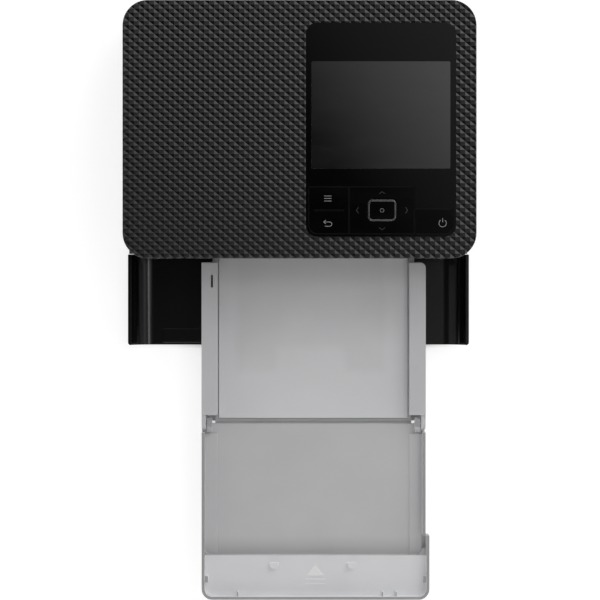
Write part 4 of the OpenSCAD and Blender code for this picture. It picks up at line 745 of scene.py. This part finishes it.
# Every finish by the record's slot, or by the piece that has one of its own: its name, how the
# material is made, its darker and lighter colour, and the values that it is made with
FINISHES = {
    # Sides of the housing: ABS with a coarse, dull grain
    "body_black": ("Grained ABS, black", moulded_plastic, "#161617", "#1B1B1C", dict(
        size=0.5, depth=0.02, roughness=0.46, IOR=1.54)),
    # ABS from a tool with ground diamonds: near black and silky, so each facet takes an even tone
    "cover_black": ("Spark-eroded ABS, black", moulded_plastic, "#08080A", "#0B0B0C", dict(
        size=0.35, depth=0.004, roughness=0.25, IOR=1.54, Specular_IOR_Level=0.46)),
    # Back-printed acrylic with a hard coat: deep black that mirrors what is above it
    "panel_gloss": ("Hard-coated acrylic, black", polished_plastic, "#040405", "#050506", dict(
        roughness=0.06, IOR=1.49, Specular_IOR_Level=0.34, Coat_Weight=0.1,
        Coat_Roughness=0.05)),
    # Window over a dark liquid-crystal panel, whose polariser mirrors more than plain plastic
    "display_glass": ("Display window, smoked", polished_plastic, "#060607", "#070708", dict(
        roughness=0.08, IOR=1.6, Specular_IOR_Level=1.0, Coat_Weight=1.0,
        Coat_Roughness=0.06, Coat_IOR=1.65)),
    # Stamped frame of the display module with a brushed face
    "display_frame": ("Brushed steel frame", machined_metal, "#8E9094", "#B2B4B8", dict(
        roughness=0.35, size=0.25, stretch=(30, 1, 1), depth=0.004)),
    # The keys are moulded in the same gloss black, a touch softer in shine than the panel
    "key_gloss": ("Gloss ABS keys, black", polished_plastic, "#030304", "#040405", dict(
        roughness=0.09, IOR=1.52, Specular_IOR_Level=0.24)),
    # Silicone key mat: smoother than the other rubbers and a little lighter
    "key_rubber": ("Silicone key mat", ground_rubber, "#47474B", "#525256", dict(
        size=0.5, depth=0.006)),
    # Bright chromium on moulded ABS: mirror-like, with the slight waviness of the moulding
    "ring_chrome": ("Chrome-plated ABS", machined_metal, "#9A9CA0", "#B0B2B6", dict(
        roughness=0.1, size=4, stretch=(1, 1, 1), depth=0.004)),
    # Smooth satin ABS, which mirrors bright things as broad soft bands
    "door_black": ("Smooth satin ABS, black", moulded_plastic, "#0A0A0B", "#0D0D0E", dict(
        size=0.4, depth=0.001, roughness=0.16, IOR=1.54, Specular_IOR_Level=0.5)),
    # Elastomer feet: dull black with a fine moulded grain
    "rubber": ("Elastomer foot", ground_rubber, "#161616", "#232323", dict(
        size=0.4, depth=0.03)),
    # Boards under black resist: dark, with tracks that catch a little light
    "circuit_board": ("Black solder resist", solder_resist, "#0B0D0C", "#242A27", {}),
    # Stamped tin-plated sockets: pale and softly brushed
    "socket_steel": ("Tin-plated steel", machined_metal, "#A2A4A8", "#BFC1C5", dict(
        roughness=0.32, size=0.5, stretch=(6, 1, 1), depth=0.003)),
    # Glass-filled nylon of sockets and the fan: dull, with a faint mottled flow
    "socket_black": ("Glass-filled nylon, black", moulded_plastic, "#141414", "#202020", dict(
        size=0.25, depth=0.015, roughness=0.55, IOR=1.53)),
    # Zinc-plated chassis sheet: grey crystals with a soft shine
    "chassis_steel": ("Zinc-plated steel sheet", zinc_plated_sheet, "#A9ACB0", "#C3C6CA", {}),
    # Centreless-ground shafts: bright, with rings round the axis
    "shaft_steel": ("Ground steel", machined_metal, "#9EA1A6", "#C8CBCF", dict(
        roughness=0.22, size=0.3, stretch=(0.6, 8, 8), depth=0.002)),
    # Guides and carriers inside: plain dull black polyacetal and ABS
    "inner_black": ("Moulded guide plastic, black", moulded_plastic, "#18181A", "#1F1F21", dict(
        size=0.6, depth=0.01, roughness=0.52, IOR=1.48)),
    # Rollers are ground to size, which leaves a soft dark nap
    "roller_rubber": ("Ground roller rubber", ground_rubber, "#26262A", "#333336", dict(
        size=0.2, depth=0.02)),
    # Natural acetal gears: milky white and slightly waxy
    "gear_plastic": ("Natural acetal", moulded_plastic, "#D6D3C8", "#E2DFD4", dict(
        size=0.8, depth=0.004, roughness=0.36, IOR=1.48, Subsurface_Weight=0.15,
        Subsurface_Radius=(0.0015, 0.0012, 0.001))),
    # Hobbed brass pinions: warm and bright
    "pinion_brass": ("Hobbed brass", machined_metal, "#A8843C", "#D2B060", dict(
        roughness=0.26, size=0.3, stretch=(6, 1, 1), depth=0.003)),
    # The heat sink was extruded, so fine lines run along X
    "sink_aluminium": ("Extruded aluminium", machined_metal, "#B0B2B5", "#D0D2D5", dict(
        roughness=0.34, size=0.35, stretch=(40, 1, 1), depth=0.006)),
    # Glazed alumina of the print head: ivory with a wet shine
    "head_ceramic": ("Glazed alumina", moulded_plastic, "#D9D4C8", "#E6E2D7", dict(
        size=1.5, depth=0.002, roughness=0.18, IOR=1.76)),
    # Drawn and nickel-plated motor cans with a faint lengthwise draw
    "motor_steel": ("Nickel-plated steel can", machined_metal, "#8A8C90", "#A7A9AD", dict(
        roughness=0.3, size=0.5, stretch=(10, 1, 1), depth=0.003)),
    # Throw-away ribbon case: dark grey with a moulded grain
    "case_grey": (
        "High-impact polystyrene, dark grey", moulded_plastic, "#2E2E31", "#37373A", dict(
            size=0.6, depth=0.012, roughness=0.48, IOR=1.59)),
    # Spools and their cores: plain white polystyrene
    "spool_plastic": ("White polystyrene spool", moulded_plastic, "#C6C6C8", "#D4D4D6", dict(
        size=0.8, depth=0.004, roughness=0.38, IOR=1.59)),
    # Polyester film with a waxy dye layer
    "film": ("Dye-coated polyester film", polished_plastic, "#3C341B", "#4A4023", dict(
        roughness=0.16, IOR=1.64)),
    # Screws with a dull bluish zinc plate
    "screw_steel": ("Zinc-plated screw steel", machined_metal, "#7F8288", "#9EA1A7", dict(
        roughness=0.36, size=0.4, stretch=(1, 1, 1), depth=0.006)),
    # Base of the cassette: pale smoke grey that lets a little light through
    "cassette_grey": ("Smoky polystyrene, cassette", smoky_polystyrene, "#DCDCDE", "#E2E2E4",
                      dict(roughness=0.42, transmission=0.2)),
    # Inner lid: thinner and paler, with a painted shade where the lift plate lies under it
    "cassette_lid": ("Smoky polystyrene, inner lid", smoky_polystyrene, "#F6F6F8", "#FCFCFE",
                     dict(roughness=0.4, transmission=0.25, shade=painted_lid_shade)),
    # Output cover: painted light and shade make it palest on the lip, darker in the recess and on
    # the rim
    "output_cover": ("Smoky polystyrene, output cover", smoky_polystyrene, "#F4F4F6", "#FAFAFC",
                     dict(roughness=0.42, transmission=0.12, shade=painted_cover_shade)),
    # Raised arrow and ribs: polished smoother than the lip, and paler as a painted highlight
    "lip_marks": ("Smoky polystyrene, raised marks", smoky_polystyrene, "#FCFCFD", "#FFFFFF",
                  dict(roughness=0.3, transmission=0.02)),
    # Lift plate: opaque grey ABS, dull so that paper slides on it
    "lift_grey": ("Grained ABS, mid grey", moulded_plastic, "#5C5C5E", "#666668", dict(
        size=0.5, depth=0.015, roughness=0.5, IOR=1.54)),
}


def finish(key):
    """Material of a slot, or of a piece with a finish of its own, made once."""
    name, make, dark, light, values = FINISHES[key]
    return bpy.data.materials.get(name) or make(name, linear(dark), linear(light), **values)


# ---------- operators, one for each piece or group of like pieces ----------


class PRINTER_OT_finish_nodes(bpy.types.Operator):
    """Gives every CAD node the material of what it is made of"""

    bl_idname = "printer.finish_nodes"
    bl_label = "Finish the CAD Nodes"

    def execute(self, context):
        for node, obj in NODES.items():
            material = finish(SLOT_OF_NODE[node])
            if not obj.material_slots:
                obj.data.materials.append(material)
            for holder in obj.material_slots:
                holder.material = material
        return {"FINISHED"}


class PRINTER_OT_diamond_skin(bpy.types.Operator):
    """Lays the diamond-patterned skin on the top cover, with an opening for the control panel"""

    bl_idname = "printer.diamond_skin"
    bl_label = "Diamond Skin"

    def execute(self, context):
        sizes = context.scene.printer_skin
        height = sizes.height / MM
        valley = float(COVER_HIGH[2])
        base = valley - SKIN_DEPTH
        pitch = (sizes.pitch_across / MM, sizes.pitch_along / MM)
        skin = mesh_object("diamond_skin", *diamond_slab(
            COVER_LOW[:2], COVER_HIGH[:2], pitch, base, valley, height))
        # The outline ends just above the tips, and both tools reach past the skin above and below
        width, depth = (COVER_HIGH - COVER_LOW)[:2] + 2 * SKIN_OVERHANG
        outline = mesh_object("skin_outline", *rounded_slab(
            (0, 0), width, depth, sizes.corner_radius / MM,
            rounded_over(base - 1, valley + height + 0.01, sizes.edge_radius / MM)))
        shaped_by(skin, outline, "INTERSECT")
        width, depth = (PANEL_HIGH - PANEL_LOW)[:2] + 2 * POCKET_GAP
        pocket = mesh_object("skin_pocket", *rounded_slab(
            middle("control_panel")[:2], width, depth, sizes.pocket_radius / MM,
            [(0, base - 2), (0, valley + 5)]))
        shaped_by(skin, pocket, "DIFFERENCE")
        finish_piece(skin, "printer", "cover_black")
        return {"FINISHED"}


class PRINTER_OT_panel(bpy.types.Operator):
    """Moulds the control panel with rounded edges round the display and the keys"""

    bl_idname = "printer.panel"
    bl_label = "Control Panel"

    def execute(self, context):
        low, high = extent("display_window")
        openings = [corner_outline(low - WINDOW_GAP, high + WINDOW_GAP, [WINDOW_RADIUS] * 4, 6)]
        for node, radii in KEY_CORNERS.items():
            low, high = extent(node)
            openings.append(
                corner_outline(low - KEY_GAP, high + KEY_GAP, np.array(radii) + KEY_GAP))
        panel = moulded_plate(
            corner_outline(PANEL_LOW, PANEL_HIGH, [PANEL_RADIUS] * 4), openings,
            PANEL_LOW[2], PANEL_HIGH[2], context.scene.printer_edges.panel / MM)
        moulded_piece("panel_plate", panel, "control_panel")
        return {"FINISHED"}


class PRINTER_OT_keys(bpy.types.Operator):
    """Moulds the four keys, their stems and the chrome ring round the select key"""

    bl_idname = "printer.keys"
    bl_label = "Keys and Chrome Ring"

    def execute(self, context):
        rounding = context.scene.printer_edges.key / MM
        ring_low, ring_high = extent("select_ring")
        around_ring = corner_outline(
            ring_low - KEY_GAP, ring_high + KEY_GAP, [RING_RADIUS + KEY_GAP] * 4)
        for node, radii in KEY_CORNERS.items():
            holes = [around_ring] if node == "nav_key" else []
            self.key(node, corner_outline(*extent(node), radii), holes, rounding)
        inside_ring = corner_outline(*extent("select_key"), [SELECT_RADIUS] * 4)
        self.key("select_key", inside_ring, [], rounding)
        ring = moulded_plate(corner_outline(ring_low, ring_high, [RING_RADIUS] * 4),
                             [inside_ring], ring_low[2], ring_high[2], rounding)
        moulded_piece("chrome_ring", ring, "select_ring")
        return {"FINISHED"}

    def key(self, node, outline, holes, rounding):
        """One key: a rounded cap on its stems, and the thumb bar across the rocker key."""
        foot = float(extent(node)[0][2])
        skirt = foot + STEM_HEIGHT
        parts = [moulded_plate(outline, holes, skirt, KEY_TOP, rounding)]
        x, y = middle(node)[:2]
        for across, along in KEY_STEMS[node]:
            stem = circle((x + across, y + along), STEM_RADIUS, 32)
            parts.append(stacked_rings([lifted(stem, foot), lifted(stem, skirt + SINK)]))
        if node == "rocker_key":
            parts.append(rounded_slab(
                (x, y), BAR_LENGTH, BAR_WIDTH, BAR_RADIUS,
                rounded_over(KEY_TOP - SINK, KEY_TOP + BAR_HEIGHT, BAR_ROUNDING)))
        moulded_piece("moulded_" + node, merged(*parts), node)


class PRINTER_OT_soft_door(bpy.types.Operator):
    """Softens the front door's edges"""

    bl_idname = "printer.soft_door"
    bl_label = "Soft Front Door"

    def execute(self, context):
        softened_copy("front_door", context.scene.printer_edges.door, segments=3)
        return {"FINISHED"}


class PRINTER_OT_soft_cassette(bpy.types.Operator):
    """Softens the edges of the paper cassette and its covers"""

    bl_idname = "printer.soft_cassette"
    bl_label = "Soft Paper Cassette"

    def execute(self, context):
        radius = context.scene.printer_edges.cassette
        softened_copy("cassette_base", radius)
        softened_copy("output_cover", radius, finish("output_cover"))
        softened_copy("inner_lid", radius)
        return {"FINISHED"}


class PRINTER_OT_key_icons(bpy.types.Operator):
    """Prints the plain icons on the keys as thin films"""

    bl_idname = "printer.key_icons"
    bl_label = "Key Icons"

    def execute(self, context):
        sizes = context.scene.printer_marks
        self.stroke = sizes.stroke / MM
        self.base, self.top = KEY_TOP - INK_SINK, KEY_TOP + sizes.film / MM
        white = printed_ink("White screen print", tuple(sizes.white))
        grey = printed_ink("Grey screen print", tuple(sizes.grey))
        self.icons("menu_and_back_icons", "rocker_key", white, [
            *self.lines("rocker_key", MENU_PLACE, self.menu()),
            *self.lines("rocker_key", BACK_PLACE, self.back())])
        self.icons("direction_icons", "nav_key", grey,
                   self.lines("nav_key", (0, 0), self.chevrons()))
        self.icons("power_icon", "power_key", white,
                   self.lines("power_key", POWER_PLACE, self.power()))
        dot = ribbon(circle(middle("nav_key")[:2], SELECT_DOT_RADIUS), SELECT_DOT_STROKE,
                     self.base, self.top, closed=True)
        self.icons("select_icon", "select_key", white, [dot])
        return {"FINISHED"}

    def menu(self):
        """Three bars."""
        return [[(-1.9, y), (1.9, y)] for y in (-1.3, 0.0, 1.3)]

    def back(self):
        """Arrow that turns back on itself: its tail round a half circle, then its head."""
        bend = circle((0.95, -0.2), 1.1, 16, math.pi / 2, -math.pi)
        return [[(-1.8, 0.9), *bend, (-1.5, -1.3)], [(-1.05, 1.9), (-2.1, 0.9), (-1.05, -0.1)]]

    def power(self):
        """Open circle with a bar in its gap."""
        arc = circle((0, 0), POWER_RADIUS, 36, math.radians(125), math.radians(290))
        return [arc, [(0, 0.5), (0, 2.6)]]

    def chevrons(self):
        """One chevron in each direction from the middle of the four-way key."""
        for direction, reach in CHEVRON_REACH.items():
            ahead = np.array(direction, float)
            side = np.array([-ahead[1], ahead[0]]) * CHEVRON_HALF
            foot = ahead * (reach - CHEVRON_LENGTH)
            yield [foot + side, ahead * reach, foot - side]

    def lines(self, key, place, strokes):
        """Bands along an icon's strokes, which are given from its middle."""
        centre = middle(key)[:2] + place
        return [ribbon(np.array(stroke) + centre, self.stroke, self.base, self.top)
                for stroke in strokes]

    def icons(self, name, key, ink, bands):
        """Piece of printed bands that rides on its key."""
        finish_piece(mesh_object(name, *merged(*bands)), body_of_node(key), "key_gloss", ink)


class PRINTER_OT_lip_marks(bpy.types.Operator):
    """Raises the arrow and the grip ribs on the output cover's lip"""

    bl_idname = "printer.lip_marks"
    bl_label = "Marks on the Cassette's Lip"

    def execute(self, context):
        low, high = extent("output_cover")
        lip = high[2] - LIP_DROP
        edge = np.array([MARKS_MIDDLE, low[1]])
        base, top = lip - MARK_SINK, lip + context.scene.printer_marks.emboss / MM
        arrow = raised_plate(np.array(ARROW) + edge, base, top, ARROW_DRAFT)
        rib = rounded_outline(*RIB_SIZE, RIB_RADIUS, 4)
        ribs = [raised_plate(rib + edge + (0, place), base, lip + RIB_HEIGHT, RIB_DRAFT)
                for place in RIB_PLACES]
        marks = bevelled(mesh_object("lip_marks", *merged(arrow, *ribs)), MARK_ROUNDING * MM)
        finish_piece(marks, "output_cover", "cassette_grey", finish("lip_marks"))
        return {"FINISHED"}


# ---------- stage, whose lengths are in metres ----------

CAMERA_SHIFT = (0.05, -0.05)

# Square soft lamps: where each stands, and how wide it is
KEY_LAMP = ((0.6, 0.82, 0.72), 0.8)
FILL_LAMP = ((-0.3, -2.0, 1.0), 1.8)

# Overhead card: how far it reaches each way, how high it hangs, and where it glows. Each glow
# runs from a first to a second place along a way, and has the level given there at either end.
CARD_REACH, CARD_HEIGHT = 0.9, 1.95
CARD_WAY = (1, 0.65, 0)
CARD_GLOW = (0.12, 0.5, 0.02, 0.57)
ARC_INNER, ARC_OUTER = (0.55, 0.65, 0.0, 2.2), (0.82, 0.9, 1.0, 0.0)
ARC_SIDE = (-0.35, 0.35, 0.0, 1.0)
FRONT_ALONG, FRONT_ACROSS = (-0.22, -0.04, 0.26, 0.0), (-0.2, 0.25, 0.18, 1.0)

# Floor: its glow fades in gaps and close round the printer as a painted shade: how far a gap has
# to open to be seen bright, and its glow by how open it is
GAP_DEPTH = 0.045
FLOOR_GLOW = (0.2, 0.42, 0.0, 0.76)

# World: an upper and a lower light by the way they come from and by their height, and the
# backdrop that mirrors see near the horizon, which is darker to the right
UPPER_WAY, UPPER_GLOW, UPPER_FADE = (0.64, 0.77, 0), (-0.5, 0.1, 0.0, 0.68), (0.68, 0.94, 1.0, 0.0)
LOWER_WAY, LOWER_GLOW, LOWER_FADE = (-0.9, -0.43, 0), (-0.1, 0.9, 0.0, 1.3), (0.3, 0.6, 1.0, 0.0)
BACKDROP_WAY, BACKDROP_GLOW = (1, 0, 0), (-0.2, 0.6, 1.0, 0.12)
BACKDROP_FADE = (0.06, 0.2, 1.0, 0.0)


class PRINTER_OT_stage(bpy.types.Operator):
    """Sets the pale floor, the soft lights, the overhead card and the camera"""

    bl_idname = "printer.stage"
    bl_label = "Stage"

    def execute(self, context):
        sizes = context.scene.printer_stage
        self.floor(sizes.floor_half)
        self.card()
        self.world(context.scene)
        self.lamp("Key light", *KEY_LAMP, sizes.key_power)
        self.lamp("Fill light", *FILL_LAMP, sizes.fill_power)
        camera = bpy.data.cameras.new("Camera")
        camera.lens, camera.sensor_width = sizes.lens, 36
        camera.shift_x, camera.shift_y = CAMERA_SHIFT
        camera.clip_start, camera.clip_end = 0.01, 20
        holder = linked("Camera", camera)
        holder.location = sizes.camera_place
        context.scene.camera = holder
        context.scene.view_settings.view_transform = "Standard"
        return {"FINISHED"}

    def square(self, name, finish_name, corners):
        """Square of the stage and its material, whose empty node tree is returned."""
        obj = mesh_object(name, np.array(corners) / MM, [(0, 1, 2, 3)])
        material = bpy.data.materials.new(finish_name)
        obj.data.materials.append(material)
        return empty_tree(material)

    def floor(self, half):
        """Pale floor that keeps the shadow and, in the open, is seen as white by the eye and by
        mirrors; in gaps and close round the printer its glow fades as a painted shade."""
        tree = self.square("Floor", "Pale studio floor", [
            (-half, -half, 0), (half, -half, 0), (half, half, 0), (-half, half, 0)])
        paper = add(tree, "BsdfDiffuse", {"Color": (0.5, 0.5, 0.5, 1)})
        # Ambient occlusion dims the glow in gaps: a painted shade
        painted_shade_openness = add(tree, "AmbientOcclusion", {"Distance": GAP_DEPTH}, "AO", samples=8)
        level = ramp(tree, painted_shade_openness, *FLOOR_GLOW)
        glow = add(tree, "Emission", {"Color": (1, 1, 1, 1), "Strength": level})
        seen = add(tree, "AddShader", (paper, glow))
        plain = add(tree, "BsdfDiffuse", {"Color": (0.8, 0.8, 0.8, 1)})
        # 1 for rays from the eye, a mirror or clear plastic, else 0
        ray = add(tree, "LightPath").node.outputs
        direct = combined(tree, "MAXIMUM", ray["Is Camera Ray"], ray["Is Glossy Ray"],
                          ray["Is Transmission Ray"])
        mixed = add(tree, "MixShader", (direct, plain, seen))
        add(tree, "OutputMaterial", {"Surface": mixed})

    def card(self):
        """Overhead card that glows more to the rear right, with a broad arc of soft light round
        that side and a faint glow over the front."""
        reach, height = CARD_REACH, CARD_HEIGHT
        tree = self.square("Overhead card", "Overhead card", [
            (-reach, -reach, height), (-reach, reach, height),
            (reach, reach, height), (reach, -reach, height)])
        place = add(tree, "TexCoord", output="Object")
        across = add(tree, "VectorMath", (place, CARD_WAY), "Value", operation="DOT_PRODUCT")
        flat = add(tree, "VectorMath", (place, (1, 1, 0)), operation="MULTIPLY")
        away = add(tree, "VectorMath", (flat,), "Value", operation="LENGTH")
        x, y, _ = add(tree, "SeparateXYZ", (place,)).node.outputs
        fade, inner, outer, side, along, aside = (
            ramp(tree, way, *glow)
            for way, glow in ((across, CARD_GLOW), (away, ARC_INNER), (away, ARC_OUTER),
                              (across, ARC_SIDE), (y, FRONT_ALONG), (x, FRONT_ACROSS)))
        arc = combined(tree, "MULTIPLY", inner, outer, side)
        front = combined(tree, "MULTIPLY", along, aside)
        level = combined(tree, "ADD", fade, front, arc)
        glow = add(tree, "Emission", {"Color": (1, 1, 1, 1), "Strength": level})
        add(tree, "OutputMaterial", {"Surface": glow})

    def world(self, scene):
        """Soft light that grows towards the rear right and fades overhead, above a white
        backdrop."""
        scene.world = bpy.data.worlds.new("Studio")
        tree = empty_tree(scene.world)
        place = add(tree, "TexCoord", output="Generated")
        rise = add(tree, "SeparateXYZ", (place,), "Z")
        upper, lower, backdrop = (
            ramp(tree, add(tree, "VectorMath", (place, way), "Value", operation="DOT_PRODUCT"),
                 *glow)
            for way, glow in ((UPPER_WAY, UPPER_GLOW), (LOWER_WAY, LOWER_GLOW),
                              (BACKDROP_WAY, BACKDROP_GLOW)))
        upper, lower = (
            combined(tree, "MULTIPLY", light, ramp(tree, rise, *fade))
            for light, fade in ((upper, UPPER_FADE), (lower, LOWER_FADE)))
        both = combined(tree, "ADD", upper, lower)
        near = ramp(tree, rise, *BACKDROP_FADE)
        level = add(tree, "Mix", {0: near, 2: both, 3: backdrop})
        ambient = add(tree, "Background", {"Color": (1, 1, 1, 1), "Strength": level})
        white = add(tree, "Background", {"Color": (1, 1, 1, 1), "Strength": 1.0})
        direct = add(tree, "LightPath", output="Is Camera Ray")
        mixed = add(tree, "MixShader", (direct, ambient, white))
        add(tree, "OutputWorld", {"Surface": mixed})

    def lamp(self, name, place, size, power):
        """Square soft light that faces the printer and isn't seen itself."""
        light = bpy.data.lights.new(name, "AREA")
        light.energy, light.size = power, size
        obj = linked(name, light)
        obj.location = place
        obj.rotation_euler = (-obj.location).to_track_quat("-Z", "Y").to_euler()
        obj.visible_camera = False


class PRINTER_PT_build(bpy.types.Panel):
    """Panel that lists the printer's pieces and sizes"""

    bl_label = "Photo Printer"
    bl_idname = "PRINTER_PT_build"
    bl_space_type = "VIEW_3D"
    bl_region_type = "UI"
    bl_category = "Printer"

    def draw(self, context):
        for operator in STEPS:
            self.layout.operator(operator.bl_idname)
        for name in SETTINGS:
            box = self.layout.box()
            group = getattr(context.scene, name)
            for value in group.bl_rna.properties:
                if value.identifier not in ("rna_type", "name"):
                    box.prop(group, value.identifier)


SETTINGS = {
    "printer_skin": SkinSizes, "printer_edges": EdgeSizes,
    "printer_marks": MarkSizes, "printer_stage": StageSizes,
}
STEPS = (
    PRINTER_OT_stage, PRINTER_OT_finish_nodes, PRINTER_OT_diamond_skin, PRINTER_OT_panel,
    PRINTER_OT_keys, PRINTER_OT_soft_door, PRINTER_OT_soft_cassette, PRINTER_OT_key_icons,
    PRINTER_OT_lip_marks,
)
CLASSES = (*SETTINGS.values(), *STEPS, PRINTER_PT_build)


def register():
    for item in CLASSES:
        bpy.utils.register_class(item)
    for name, group in SETTINGS.items():
        setattr(bpy.types.Scene, name, bpy.props.PointerProperty(type=group))


def unregister():
    for name in SETTINGS:
        delattr(bpy.types.Scene, name)
    for item in reversed(CLASSES):
        bpy.utils.unregister_class(item)


def main():
    """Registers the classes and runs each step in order."""
    register()
    for step in STEPS:
        family, name = step.bl_idname.split(".")
        getattr(getattr(bpy.ops, family), name)()


if __name__ == "__main__":
    main()
